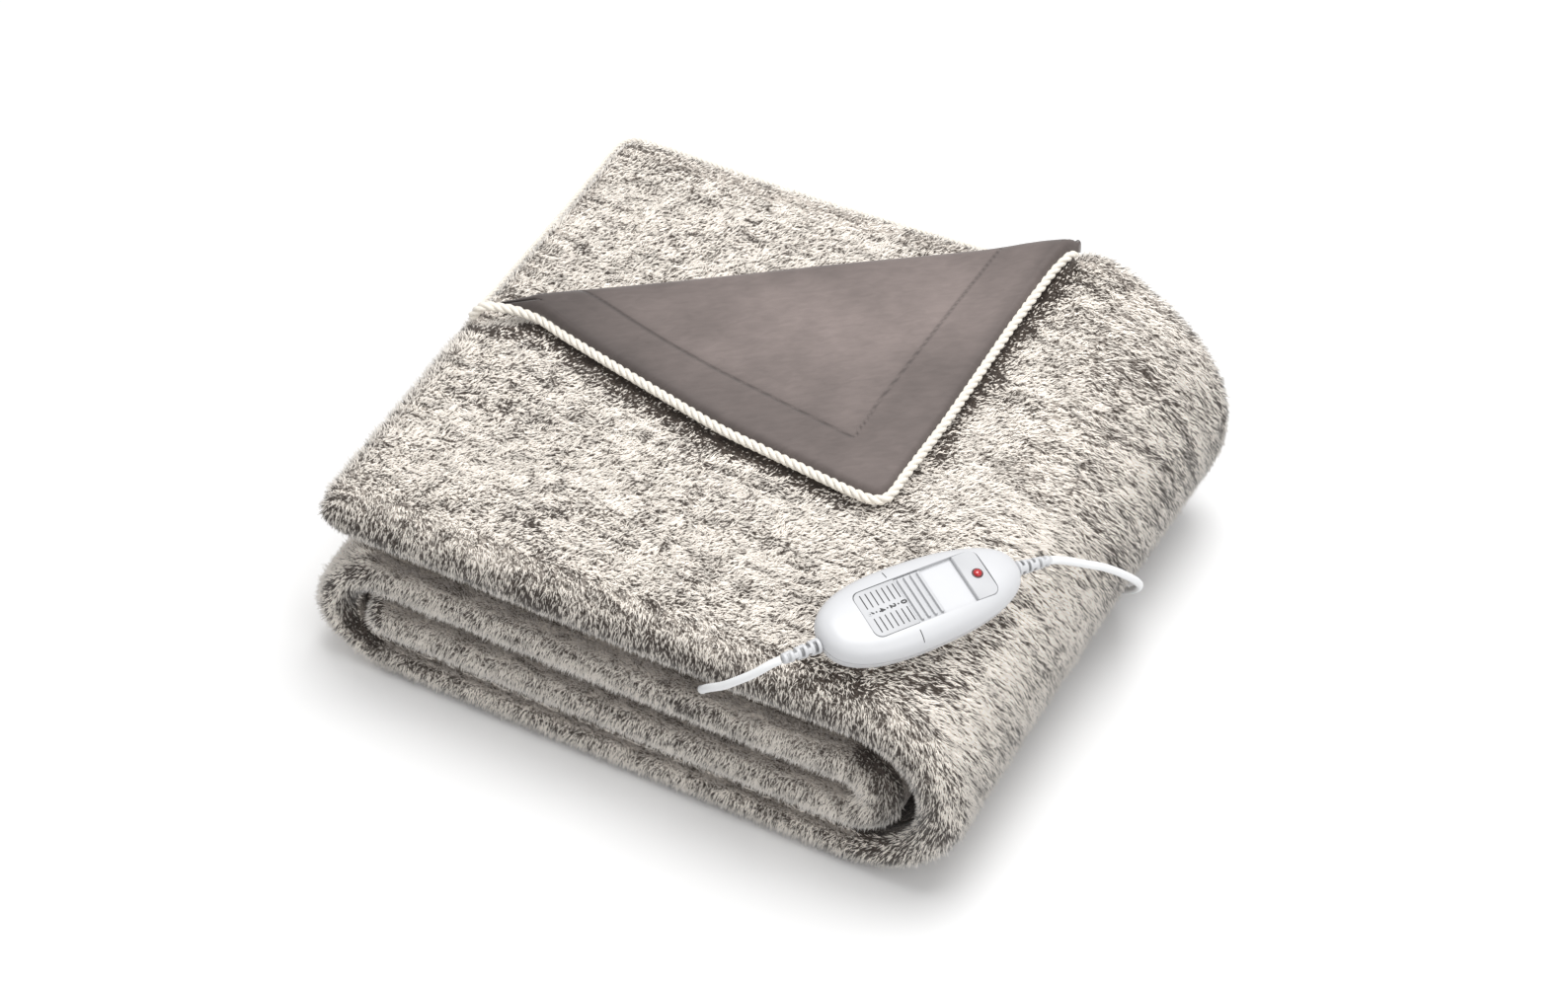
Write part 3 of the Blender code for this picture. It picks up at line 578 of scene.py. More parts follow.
def clothPoint(row, y, outward, zone):
    skin = row.half - cloth["skinDepth"]
    rounding = cloth["topEndRounding"] if row.name == "topEnd" else 1.0
    out = skin * rimShare(y, row.half) ** rounding * math.sin(row.endAngle)
    if zone == "hidden":
        out *= cloth["hiddenEnd"]
    n = outward * math.cos(row.endAngle)
    neatX = row.x - row.dz * n + row.dx * out
    neatZ = row.z + row.dx * n + row.dz * out
    behind = -creaseShares(neatX, y)[1]
    stepStart, stepStop = cloth["stepPlace"]
    if neatZ > layerMiddle("top"):
        step = clamp((behind - stepStart) / (stepStop - stepStart))
        neatZ = min(neatZ, stack["height"] - cloth["skinDepth"] - corner["plyStep"] * step)
        fromTip = math.hypot(neatX - stack["tipPlace"][0], y - stack["tipPlace"][1])
        above = min((neatZ - layerMiddle("top")) / stack["tipBlend"], 1.0)
        neatZ += stack["tipLoft"] * hump(fromTip, 0.0, stack["tipSpread"]) * above
    floorShare = clamp((layerMiddle("base") - neatZ) / (layerHalf("base") - cloth["skinDepth"]))
    neatZ -= (cloth["skinDepth"] - cloth["floorClear"]) * floorShare ** 2
    return drape(neatX, y, neatZ)


def makeCloth():
    rows = bundleRows()
    sections = [crossSection(row.half) for row in rows]
    across = len(rows) - 1
    columns = len(sections[0]) - 1
    shape = bmesh.new()
    bmesh.ops.create_grid(shape, x_segments=across, y_segments=columns, size=0.5)
    cells = []
    for vert in shape.verts:
        i = round((vert.co.x + 0.5) * across)
        j = round((vert.co.y + 0.5) * columns)
        cells.append((i, j))
        vert.co = clothPoint(rows[i], *sections[i][j])
    return rows, sections, shape, cells


# pile: tapered tufts spread over the cloth by geometry nodes
layerNames = ("inner", "innerNose", "middle", "leftWrap", "base", "bigNose", "top", "topEnd")

pile = {
    "width": 0.00047,
    "lengths": (0.7, 1.15),
    "streakLength": (1.4, 0.3),
    "pressLength": 0.55,      # pressed hairs are shorter by up to this share
    "floorClear": 0.0004,
    "lean": 0.95,
    "wander": 1.5,
    "wanderScale": 95.0,
    "jitter": 0.34,
    "spin": 6.28,             # each hair is turned round itself by up to this
    "chance": 0.075,
    "clumps": 345.0,          # of these in a metre; hairs of a clump lean together
    "clumpPull": 190.0,
    "clumpLight": 0.20,
    "clumpRim": 0.22,
    "clumpMiddle": 0.62,
    "patches": (  # name, rows, zones, tufts per square metre, length, side of the middle
        ("pileTopFront", ("top",), ("outside",), 950000, 0.0070, 1),
        ("pileTopBack", ("top",), ("outside",), 830000, 0.0070, -1),
        ("pileNoseFront", ("bigNose",), ("outside",), 820000, 0.0078, 1),
        ("pileNoseBack", ("bigNose",), ("outside",), 440000, 0.0078, -1),
        ("pileFrontRims", (*layerNames, "innerEnd"), ("frontRim",), 610000, 0.0060, 0),
        ("pileWrap", ("leftWrap",), ("outside",), 340000, 0.0066, 0),
        ("pileTopEnd", ("topEnd",), ("outside", "inside"), 520000, 0.0066, 0),
        ("pileBackRims", layerNames, ("backRim",), 270000, 0.0068, 0),
    ),
}


def makeTuft():
    shape = bmesh.new()
    bmesh.ops.create_cone(shape, cap_ends=False, segments=3, radius1=1.0, radius2=0.0, depth=1.0)
    bmesh.ops.translate(shape, verts=shape.verts, vec=(0, 0, 0.5))
    bmesh.ops.remove_doubles(shape, verts=shape.verts, dist=0.0001)
    tuft = finishMesh("tuftShape", shape)
    values = tuft.data.attributes.new("along", "FLOAT", "POINT")
    for vert in tuft.data.vertices:
        values.data[vert.index].value = vert.co.z
    return tuft


def readField(tree, name, kind="FLOAT"):
    return addNode(tree, "GeometryNodeInputNamedAttribute", {"Name": name}, data_type=kind).outputs[0]


def randomShare(tree, low, high):
    return addNode(tree, "FunctionNodeRandomValue", {2: low, 3: high}, data_type="FLOAT").outputs[1]


def hairTone(tree, place, rim):
    # how light a hair is: the streaks of the cloth, a little chance, and darker between the clumps
    streak, ridge = mottle(tree, place)
    streak = plus(tree, streak, randomShare(tree, -pile["chance"], pile["chance"]))
    inner = plainMath(tree, "DIVIDE", rim, pile["clumpRim"], limited=True)
    inner = minus(tree, inner, pile["clumpMiddle"])
    return plus(tree, streak, times(tree, inner, pile["clumpLight"])), ridge


def hairAim(tree, place, pull, ground):
    # hairs lean with the lie of the cloth, wander in waves and draw together in clumps
    wander = noise(tree, place, pile["wanderScale"], 1.0, "Color")
    wander = vectorMath(tree, "SUBTRACT", wander, (0.5, 0.5, 0.5))     # about the noise's own middle
    spread = {0: (-pile["jitter"],) * 3, 1: (pile["jitter"],) * 3}
    jitter = addNode(tree, "FunctionNodeRandomValue", spread, data_type="FLOAT_VECTOR").outputs[0]
    lean = vectorMath(tree, "SCALE", readField(tree, "lean", "FLOAT_VECTOR"), pile["lean"])
    aim = vectorMath(tree, "ADD", ground, lean)
    aim = vectorMath(tree, "ADD", aim, vectorMath(tree, "SCALE", wander, pile["wander"]))
    aim = vectorMath(tree, "ADD", aim, jitter)
    return vectorMath(tree, "ADD", aim, vectorMath(tree, "SCALE", pull, pile["clumpPull"]))


def hairLength(tree, streak, length):
    low = minus(tree, 1.0, times(tree, readField(tree, "press"), pile["pressLength"]))
    height = times(tree, times(tree, randomShare(tree, *pile["lengths"]), low), length)
    swing, start = pile["streakLength"]
    return times(tree, height, plus(tree, times(tree, streak, swing), start))


def pileTree(tuft, material):
    tree = bpy.data.node_groups.new("growPile", "GeometryNodeTree")
    tree.interface.new_socket("Geometry", in_out="INPUT", socket_type="NodeSocketGeometry")
    for name, kind in (("Density", "Float"), ("Seed", "Int"), ("Length", "Float")):
        tree.interface.new_socket(name, in_out="INPUT", socket_type="NodeSocket" + kind)
    tree.interface.new_socket("Geometry", in_out="OUTPUT", socket_type="NodeSocketGeometry")
    source = addNode(tree, "NodeGroupInput").outputs
    result = addNode(tree, "NodeGroupOutput")
    planting = {"Mesh": source["Geometry"], "Density": source["Density"], "Seed": source["Seed"]}
    points = addNode(tree, "GeometryNodeDistributePointsOnFaces", planting).outputs
    place = readField(tree, "clothPlace", "FLOAT_VECTOR")
    position = addNode(tree, "GeometryNodeInputPosition").outputs[0]
    cells = {"Vector": position, "Scale": pile["clumps"]}
    clump = addNode(tree, "ShaderNodeTexVoronoi", cells).outputs["Position"]
    rim = addNode(tree, "ShaderNodeTexVoronoi", cells, feature="DISTANCE_TO_EDGE").outputs["Distance"]
    streak, ridge = hairTone(tree, place, rim)
    marked = points["Points"]
    for name, value, kind in (("streak", streak, "FLOAT"), ("ridge", ridge, "FLOAT"),
                              ("ground", points["Normal"], "FLOAT_VECTOR")):
        values = {"Geometry": marked, "Name": name, "Value": value}
        store = addNode(tree, "GeometryNodeStoreNamedAttribute", values, data_type=kind, domain="POINT")
        marked = store.outputs[0]
    aim = hairAim(tree, place, vectorMath(tree, "SUBTRACT", clump, position), points["Normal"])
    spun = addNode(tree, "ShaderNodeCombineXYZ", {"Z": randomShare(tree, 0.0, pile["spin"])}).outputs[0]
    turned = {"Rotation": spun, "Vector": aim}
    facing = addNode(tree, "FunctionNodeAlignEulerToVector", turned, axis="Z").outputs[0]
    height = hairLength(tree, streak, source["Length"])
    width = pile["width"]
    size = addNode(tree, "ShaderNodeCombineXYZ", {"X": width, "Y": width, "Z": height}).outputs[0]
    hair = addNode(tree, "GeometryNodeObjectInfo", {"Object": tuft}, transform_space="ORIGINAL").outputs
    values = {"Points": marked, "Instance": hair["Geometry"], "Rotation": facing, "Scale": size}
    planted = addNode(tree, "GeometryNodeInstanceOnPoints", values).outputs[0]
    grown = addNode(tree, "GeometryNodeRealizeInstances", {"Geometry": planted}).outputs[0]
    # no hair goes through the floor
    x, y, z = addNode(tree, "ShaderNodeSeparateXYZ", {0: position}).outputs
    raised = plainMath(tree, "MAXIMUM", z, pile["floorClear"])
    over = addNode(tree, "ShaderNodeCombineXYZ", {"X": x, "Y": y, "Z": raised}).outputs[0]
    kept = addNode(tree, "GeometryNodeSetPosition", {"Geometry": grown, "Position": over}).outputs[0]
    dressed = addNode(tree, "GeometryNodeSetMaterial", {"Geometry": kept, "Material": material}).outputs[0]
    tree.links.new(dressed, result.inputs[0])
    return tree


def growPatch(patchRow, shape, rows, sections, seed, tree):
    name, rowNames, zoneNames, density, length, side = patchRow
    patch = shape.copy()
    cell = patch.verts.layers.float_vector["cell"]
    drop = []
    for face in patch.faces:
        i = int(min(vert[cell].x for vert in face.verts) + 0.001)
        j = int(min(vert[cell].y for vert in face.verts) + 0.001)
        middle = face.calc_center_median()
        wanted = rows[i].name in rowNames and sections[i][j].zone in zoneNames and not underCorner(middle)
        if not wanted or middle.y * side > 0:
            drop.append(face)
    bmesh.ops.delete(patch, geom=drop, context="FACES")
    thing = finishMesh(name, patch)
    grow = thing.modifiers.new("grow", "NODES")
    grow.node_group = tree
    sockets = [item for item in tree.interface.items_tree if item.in_out == "INPUT"]
    for socket, value in zip(sockets[1:], (float(density), seed, length)):
        grow[socket.identifier] = value
    settle(thing)
    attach(thing, "blanket")
    print(name, len(thing.data.polygons), "faces")


# how the turned corner and the hand switch lie on the pile, and the painted shadow round them
cover = {
    "span": (0.02, 0.37),      # no pile grows under the corner here
    "lowest": 0.12,
    "inside": 0.012,
    "pressSpan": (-0.01, 0.385),
    "pressInside": 0.02,
    "pressStart": 0.002,
    "pressWidth": 0.024,       # how far the painted shadow and the pressed pile reach in front of the corner
    "nearWidth": 0.03,
    "frontStop": (0.19, 0.24),
    "frontLeast": 0.25,
    "tipStart": (0.25, 0.31),
    "tipMost": 0.85,
    "caseShift": (0.002, -0.004),
    "caseWidth": 0.20,
    # painted shadow and pressed pile round the hand switch
    "casePressAndShadow": 0.30,
}


def underCorner(place):
    s, w = creaseShares(*neatPlace(place))
    reach = flapReach(s, corner["line"]) - cover["inside"]
    return place.z > cover["lowest"] and cover["span"][0] < s < cover["span"][1] and 0.0 < w < reach


def flapPressAndShadow(neat, width):
    # painted shadow and pressed pile: 1 where the turned corner's edge lies on the pile, falling to 0 a
    # little in front of it
    s, w = creaseShares(neat.x, neat.y)
    if neat.z < layerMiddle("top") or s < cover["pressSpan"][0] or s > cover["pressSpan"][1]:
        return 0.0
    ahead = w - flapReach(s, corner["line"])
    if w < 0 or ahead < -cover["pressInside"]:
        return 0.0
    share = 1 - clamp((ahead - cover["pressStart"]) / width)
    start, stop = cover["frontStop"]
    if s < start:
        return share
    tipStart, tipStop = cover["tipStart"]
    tip = min((s - tipStart) / (tipStop - tipStart), cover["tipMost"])
    return share * max(1 - (s - start) / (stop - start), cover["frontLeast"], tip)


def flapReach(s, line):
    for first, second in zip(line, line[1:]):
        if first[0] <= s <= second[0]:
            return between(first[1], second[1], (s - first[0]) / (second[0] - first[0]))
    return line[0][1] if s < line[0][0] else line[-1][1]


def casePressAndShadow(neat):
    # painted shadow and pressed pile: 1 where the hand switch lies on the pile, falling to 0 round it
    if neat.z < layerMiddle("top"):
        return 0.0
    offX = neat.x - switch["seat"][0] - cover["caseShift"][0]
    offY = neat.y - switch["seat"][1] - cover["caseShift"][1]
    c = math.cos(switch["turn"])
    s = math.sin(switch["turn"])
    along = (offX * c + offY * s) / switch["halfLength"]
    across = (offY * c - offX * s) / switch["halfWidth"]
    return 1 - clamp((math.hypot(along, across) - 1.0) / cover["caseWidth"])


# the lie of the pile: a band of painted shade, painted shade where it is pressed and shorter, speckles,
# painted shade that also dims its painted glow, and its lean; where two places follow an amount, it grows
# from the first to the second
lie = {
    "plain": {"lean": (0, -0.25, -0.1)},
    # painted shade on the underside of the big nose
    "noseUnder": {"press": (0.30, 0.0, 0.5), "dusk": (0.70, 0.0, 0.65)},
    "layer": {
        "band": (0.48, 0.64),
        "cream": (0.20, 0.34),
        "fleck": (0.30, 0.38),
        "press": 0.12,
        "dusk": 0.75,
        "under": (1.8, -0.35, -0.85),
        "lean": (0.1, -0.2, -0.55),
        "bandLean": 0.9,
    },
    "wrap": {
        "hollow": (-0.25, -0.65),
        "ring": (0.30, 0.24),
        "press": (0.55, 0.42),
        "fleck": (0.5, 0.4, 0.8, 0.5),
        "dusk": (0.45, 1.3),
        "lean": (-0.1, -0.55, -0.1),
        "ringLean": 0.9,
    },
    "innerNose": {
        "outer": (0.0, 0.7),
        "press": (0.08, 0.20),
        "fleck": 0.6,
        "dusk": (0.7, 0.9),
        "lean": (0, -0.5, -0.1),
        "alongLean": 0.3,
    },
    "rim": {
        "press": (0.46, 0.75, -0.15),
        "dusk": (0.70, 0.85, -0.15),
        "lean": (0, -0.25, -0.6),
        "alongLean": 0.5,
    },
}


def risen(value, rule):
    amount, start, stop = rule
    return amount * ease(value, start, stop)


def layerLie(row, level):
    # a folded layer's front edge: cream in the middle, with painted shade towards the layer under it, a
    # little painted shade over all of it and, on the base, more towards the floor
    look = lie["layer"]
    shaded = clamp((level - look["band"][0]) / (look["band"][1] - look["band"][0]))
    middle = hump(max(level, look["cream"][0]), *look["cream"])
    under = risen(level, look["under"]) if row.name == "base" else 0.0
    return {
        "band": shaded,
        "fleck": look["fleck"][0] + look["fleck"][1] * middle,
        "press": look["press"] * middle,
        "dusk": look["dusk"] + under,
        "lean": Vector(look["lean"]) + Vector((0, 0, look["bandLean"] * shaded)),
    }


def wrapLie(outer, along):
    # rings of dark and cream round the hollow of the fold, with painted shade growing into the hollow
    look = lie["wrap"]
    hollow = ease(outer, *look["hollow"])
    return {
        "press": look["press"][0] * hump(outer, *look["ring"]) + look["press"][1] * hollow,
        "fleck": look["fleck"][0] + risen(outer, look["fleck"][1:]),
        "dusk": look["dusk"][0] + look["dusk"][1] * hollow,
        "lean": Vector(look["lean"]) + along.cross(Vector((0, 1, 0))) * (look["ringLean"] * outer),
    }


def innerNoseLie(outer, along):
    # painted shade that grows towards the outer side of the inner nose's front edge
    look = lie["innerNose"]
    late = ease(outer, *look["outer"])
    return {
        "press": look["press"][0] + look["press"][1] * late,
        "fleck": look["fleck"],
        "dusk": look["dusk"][0] + look["dusk"][1] * late,
        "lean": Vector(look["lean"]) + along * look["alongLean"],
    }


def pileLie(row, place, along):
    lean = along + Vector(lie["plain"]["lean"])
    values = {"band": 0.0, "fleck": 1.0, "press": 0.0, "dusk": 0.0, "lean": lean}
    # painted shade on the underside of the big nose, growing towards the floor
    if row.name == "bigNose":
        lower = (row.dx + 1) / 2
        values["press"] = risen(lower, lie["noseUnder"]["press"])
        values["dusk"] = risen(lower, lie["noseUnder"]["dusk"])
    if place.zone != "frontRim":
        return values
    outer = -place.outward / (row.half - cloth["skinDepth"])
    if row.name in ("inner", "middle", "base"):
        values.update(layerLie(row, row.dx * place.outward / row.half))
    elif row.name == "leftWrap":
        values.update(wrapLie(outer, along))
    elif row.name == "innerNose":
        values.update(innerNoseLie(outer, along))
    else:
        # other front edges: painted shade growing from the outer side of the fold inwards
        look = lie["rim"]
        values["press"] = max(values["press"], risen(outer, look["press"]))
        values["dusk"] = max(values["dusk"], risen(outer, look["dusk"]))
        values["lean"] = along * look["alongLean"] + Vector(look["lean"])
    return values


def runLengths(points):
    lengths = [0.0]
    for first, second in zip(points, points[1:]):
        lengths.append(lengths[-1] + math.hypot(second[0] - first[0], second[1] - first[1]))
    return lengths


def markCloth(shape, cells, rows, sections):
    # what the pile needs to know of each place: where it is on the flat cloth, how its hairs lie and the
    # painted shade on it
    layers = shape.verts.layers
    places = {name: layers.float_vector.new(name) for name in ("clothPlace", "cell", "neat")}
    values = {"lean": layers.float_vector.new("lean")}
    values.update({name: layers.float.new(name) for name in ("band", "fleck", "dusk", "press")})
    neat = places["neat"]
    press = values["press"]
    grid = {cell: vert.co.copy() for vert, cell in zip(shape.verts, cells)}
    lengths = runLengths(rows)
    breadths = [runLengths(section) for section in sections]
    for vert, (i, j) in zip(shape.verts, cells):
        row = rows[i]
        place = sections[i][j]
        along = grid[(max(i - 1, 0), j)] - grid[(min(i + 1, len(rows) - 1), j)]
        along = along.normalized() if along.length > 1e-6 else Vector((1, 0, 0))
        for name, value in pileLie(row, place, along).items():
            vert[values[name]] = value
        vert[places["clothPlace"]] = (lengths[i], breadths[i][j], 0.0)
        vert[places["cell"]] = (i, j, 0.0)
        vert[neat] = (row.x, place.y, row.z + row.dx * place.outward)
    # finer faces where the corner or the switch lies
    near = set()
    for face in shape.faces:
        corners = [vert[neat] for vert in face.verts]
        if any(flapPressAndShadow(place, cover["nearWidth"]) > 0 or casePressAndShadow(place) > 0 for place in corners):
            near.update(face.edges)
    bmesh.ops.subdivide_edges(shape, edges=list(near), cuts=2, use_grid_fill=True)
    # painted shadow and pressed pile in front of the turned corner's edge and round the hand switch
    for vert in shape.verts:
        underCase = cover["casePressAndShadow"] * casePressAndShadow(vert[neat])
        vert[press] = max(vert[press], flapPressAndShadow(vert[neat], cover["pressWidth"]), underCase)


def buildBlanket():
    rows, sections, shape, cells = makeCloth()
    markCloth(shape, cells, rows, sections)
    tree = pileTree(makeTuft(), pileMaterial())
    for seed, patchRow in enumerate(pile["patches"]):
        growPatch(patchRow, shape, rows, sections, seed, tree)
    bpy.data.objects.remove(bpy.data.objects["tuftShape"])
    skin = finishMesh("foldedBlanket", shape, groundMaterial())
    wall = skin.modifiers.new("wall", "SOLIDIFY")
    wall.thickness = cloth["thickness"]
    wall.offset = -1
    settle(skin)
    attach(skin, "blanket")
    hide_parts("folded_cloth")
    print("cloth and pile done")


# leads
leads = {
    "diameter": 0.0054,
    "step": 0.006,
    "clothSide": (
        (0.3486, -0.0062, 0.1861), (0.3461, -0.0092, 0.1857), (0.3421, -0.0121, 0.1824),
        (0.3347, -0.0152, 0.1750), (0.3249, -0.0168, 0.1656), (0.3146, -0.0155, 0.1541),
        (0.3043, -0.0112, 0.1424), (0.2966, -0.0060, 0.1318), (0.2910, -0.0008, 0.1222),
        (0.2868, 0.0060, 0.1138),
    ),
    "mainsSide": (
        (0.4527, 0.1562, 0.1702), (0.4551, 0.1628, 0.1655), (0.4597, 0.1739, 0.1561),
        (0.4661, 0.1879, 0.1432), (0.4713, 0.2023, 0.1297), (0.4757, 0.2160, 0.1152),
        (0.4794, 0.2303, 0.0986), (0.4810, 0.2465, 0.0790), (0.4802, 0.2600, 0.0610),
        (0.4728, 0.2745, 0.0390), (0.4600, 0.2880, 0.0188), (0.4470, 0.3020, 0.0070),
        (0.4385, 0.3220, 0.0031), (0.4362, 0.3500, 0.0031), (0.4362, 0.3820, 0.0031),
        (0.4352, 0.4120, 0.0031), (0.4306, 0.4390, 0.0031), (0.4190, 0.4640, 0.0031),
        (0.4010, 0.4840, 0.0031), (0.3760, 0.4960, 0.0031), (0.3480, 0.4988, 0.0031),
        (0.3200, 0.4980, 0.0031), (0.3020, 0.4972, 0.0031), (0.2912, 0.4970, 0.0031),
    ),
    "plugTail": ((0.2484, 0.4970, 0.0072), (0.2430, 0.4970, 0.0070), (0.2358, 0.4970, 0.0069)),
    "coilCentre": (0.2698, 0.4624),
    "coilRadius": 0.0297,
    "coilPitch": 0.0056,
    "coilFloor": 0.0031,
    "coilCells": (  # ring and layer of each turn
        (1, 0), (0, 0), (-1, 0), (-1, 1), (-1, 2), (0, 2), (1, 2), (0, 1), (1, 1),
    ),
    "turnPoints": 32,
    "moveShare": 0.28,        # part of each turn in which it moves to the next place
}


def placedRoute(route):
    return [Vector((x - stack["centre"][0], y - stack["centre"][1], z)) for x, y, z in route]


def coilRoute():
    # wound from its outer foot to the middle of its outer side, entered and left towards -x
    points = []
    cells = leads["coilCells"]
    steps = leads["turnPoints"]
    centreX, centreY = leads["coilCentre"]
    for turn, (ring, layer) in enumerate(cells):
        nextRing, nextLayer = cells[min(turn + 1, len(cells) - 1)]
        for k in range(1 if turn == 0 else 0, steps):
            share = ease(k / steps, 1 - leads["moveShare"], 1.0)
            radius = leads["coilRadius"] + leads["coilPitch"] * between(ring, nextRing, share)
            z = leads["coilFloor"] + leads["coilPitch"] * between(layer, nextLayer, share)
            angle = math.pi / 2 + 2 * math.pi * k / steps
            points.append((centreX + radius * math.cos(angle), centreY + radius * math.sin(angle), z))
    return points


def makeLead(name, points, material):
    curve = bpy.data.curves.new(name, "CURVE")
    curve.dimensions = "3D"
    curve.bevel_depth = leads["diameter"] / 2
    curve.bevel_resolution = 4
    curve.use_fill_caps = True
    spline = curve.splines.new("POLY")
    spline.points.add(len(points) - 1)
    for target, point in zip(spline.points, points):
        target.co = (*point, 1.0)
    spline.use_smooth = True
    curve.materials.append(material)
    thing = addObject(name, curve)
    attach(thing, "blanket")
    return thing


def buildLeads():
    sheath = plasticMaterial("sheathWhite")
    toCloth = smoothRoute(placedRoute(leads["clothSide"]), leads["step"])
    lead = makeLead("clothLead", toCloth, sheath)
    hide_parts("lead_cloth_side")
    whole = leads["mainsSide"] + tuple(coilRoute()) + leads["plugTail"]
    toPlug = smoothRoute(placedRoute(whole), leads["step"])
    mains = makeLead("mainsLead", toPlug, sheath)
    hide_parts("lead_mains_run", "lead_coil", "lead_plug_tail")
    print("leads", round(routeLength(toCloth), 3), round(routeLength(toPlug), 3))


# turned corner: velour lining and twisted piping
def edgeLine():
    line = []
    source = corner["line"]
    last = len(source) - 1
    for i, (s, w) in enumerate(source):
        before = source[max(i - 1, 0)]
        after = source[min(i + 1, last)]
        along = math.hypot(after[0] - before[0], after[1] - before[1])
        line.append((s + corner["clear"] * (after[1] - before[1]) / along,
                     w - corner["clear"] * (after[0] - before[0]) / along))
    return line


def flapTop(w):
    return corner["top"] + corner["rollRise"] * hump(w, 0.0, corner["rollFade"])


def rollShare(reach):
    full = max(reach, corner["least"]) + corner["rollRadius"]
    return max((reach + corner["rollRadius"]) / full, corner["leastShare"])


def squeeze(w, share):
    return (w + corner["rollRadius"]) * share - corner["rollRadius"]


lining = {
    "stations": 140,
    "arcSteps": 8,
    "rowSteps": 60,
    "arcShare": 0.2,          # up to here the sheet goes over the roll
    "flatShare": 0.9,         # from here it turns down at its free edge
    "clear": 0.0003,
    "thickness": 0.0016,
    "edgeRound": 0.0030,
    "edgeFall": 0.0062,
    "footDrop": 0.004,
    "leastRise": 0.25,
    "seamWidth": 0.0011,
    "tint": (0.168, 0.137, 0.128),
    "clouds": (24.0, 0.86, 1.14),
    "strokes": ((90.0, 260.0, 90.0), 0.92, 1.08),
    "noiseSpan": (0.3, 0.7),
    "grainScale": 1500.0,
    "grainHeight": 0.12,
    "seamDark": 0.42,
    "puffWidth": 3.2,         # in widths of the seam
    # painted shade towards the corner's start and at its free edge, a painted highlight along the fold's
    # crest and painted shade at the roll; the border outside the seam is darker
    "lateTone": (0.66, 0.34, 0.03, 0.23),
    "edgeTone": (0.76, 0.24, 0.004, 0.020),
    "crestHighlight": (0.93, 0.20, 0.035, 0.05),
    "rollShade": (0.12, 0.0, 0.012),
    "borderTone": (0.17, 0.007, -0.007),
    "stitch": ((0.0687, 0.2242), (0.0884, 0.2223), (0.1925, 0.2018), (0.3023, 0.1845), (0.3023, 0.2189),
               (0.3102, 0.3214), (0.3192, 0.3971)),
    "sideSlope": 0.08,
}


def liningPoint(s, share, line):
    # share runs from the foot behind the roll over the roll to the free edge
    trueReach = flapReach(s, line)
    tight = rollShare(trueReach)
    rise = between(lining["leastRise"], 1.0, tight) if s < corner["length"] / 2 else 1.0
    reach = max(trueReach, corner["least"])
    clear = lining["clear"] + lining["thickness"]
    radius = corner["rollRadius"]
    arc = lining["arcShare"]
    flat = lining["flatShare"]
    if share <= 0.0:
        x, y = creasePlace(s, -radius - clear)
        lowest = stack["height"] - corner["rimHang"] - lining["footDrop"]
        foot = clamp(topLevel(x, y), lowest, stack["height"] - corner["plyStep"])
        return drape(x, y, foot + corner["liningFoot"])
    if share < arc:
        angle = math.pi * (1 - share / arc * 0.5)
        c = math.cos(angle)
        d = math.sin(angle)
        height = min((corner["rollCentre"] + radius * d) * rise, flapTop(0.0) * rise)
        return creasePoint(s, squeeze(radius * c, tight) + clear * c, height + clear * d)
    edge = reach - lining["edgeRound"]
    if share <= flat:
        w = edge * ((share - arc) / (flat - arc))
        return creasePoint(s, squeeze(w, tight), flapTop(w) * rise + clear)
    angle = math.pi / 2 * (share - flat) / (1 - flat)
    w = edge + (lining["edgeRound"] + clear) * math.sin(angle)
    fall = (1 - math.cos(angle)) * lining["edgeFall"]
    return creasePoint(s, squeeze(w, tight), (flapTop(reach) - fall) * rise + clear)


def velourMaterial():
    values = {"Sheen_Weight": 0.35, "Sheen_Roughness": 0.35}
    material, tree, shader = newMaterial("taupeVelour", roughness=0.8, **values)
    place = addNode(tree, "ShaderNodeTexCoord").outputs["Object"]
    cloudScale, *cloudTone = lining["clouds"]
    strokeScale, *strokeTone = lining["strokes"]
    turned = addNode(tree, "ShaderNodeVectorRotate", {"Vector": place, "Angle": -corner["turn"]},
                     rotation_type="Z_AXIS").outputs[0]
    brushed = noise(tree, vectorMath(tree, "MULTIPLY", turned, strokeScale), 1.0, 3.0, Distortion=0.7)
    grain = noise(tree, place, lining["grainScale"], 2.0)
    cloud = mapRange(tree, noise(tree, place, cloudScale, 3.0), lining["noiseSpan"], cloudTone)
    nap = mapRange(tree, brushed, lining["noiseSpan"], strokeTone)
    # the painted light and shade of the lining come in with its tone attribute
    tone = times(tree, times(tree, cloud, nap), readAttribute(tree, "tone"))
    gap = plainMath(tree, "DIVIDE", readAttribute(tree, "seamGap"), lining["seamWidth"])
    groove = bell(tree, gap)
    puff = bell(tree, plainMath(tree, "DIVIDE", gap, lining["puffWidth"]))
    tone = times(tree, tone, minus(tree, 1.0, times(tree, groove, lining["seamDark"])))
    height = minus(tree, times(tree, grain, lining["grainHeight"]), plus(tree, groove, puff))
    feed(tree, shader, Base_Color=vectorMath(tree, "SCALE", lining["tint"], tone),
         Normal=bump(tree, height, 0.8, 0.0009))
    return material


def seamDistance(place):
    x, y = neatPlace(place)
    least = 1.0
    for (x0, y0), (x1, y1) in zip(lining["stitch"], lining["stitch"][1:]):
        share = clamp(((x - x0) * (x1 - x0) + (y - y0) * (y1 - y0)) / ((x1 - x0) ** 2 + (y1 - y0) ** 2))
        least = min(least, math.hypot(x - x0 - share * (x1 - x0), y - y0 - share * (y1 - y0)))
    return least


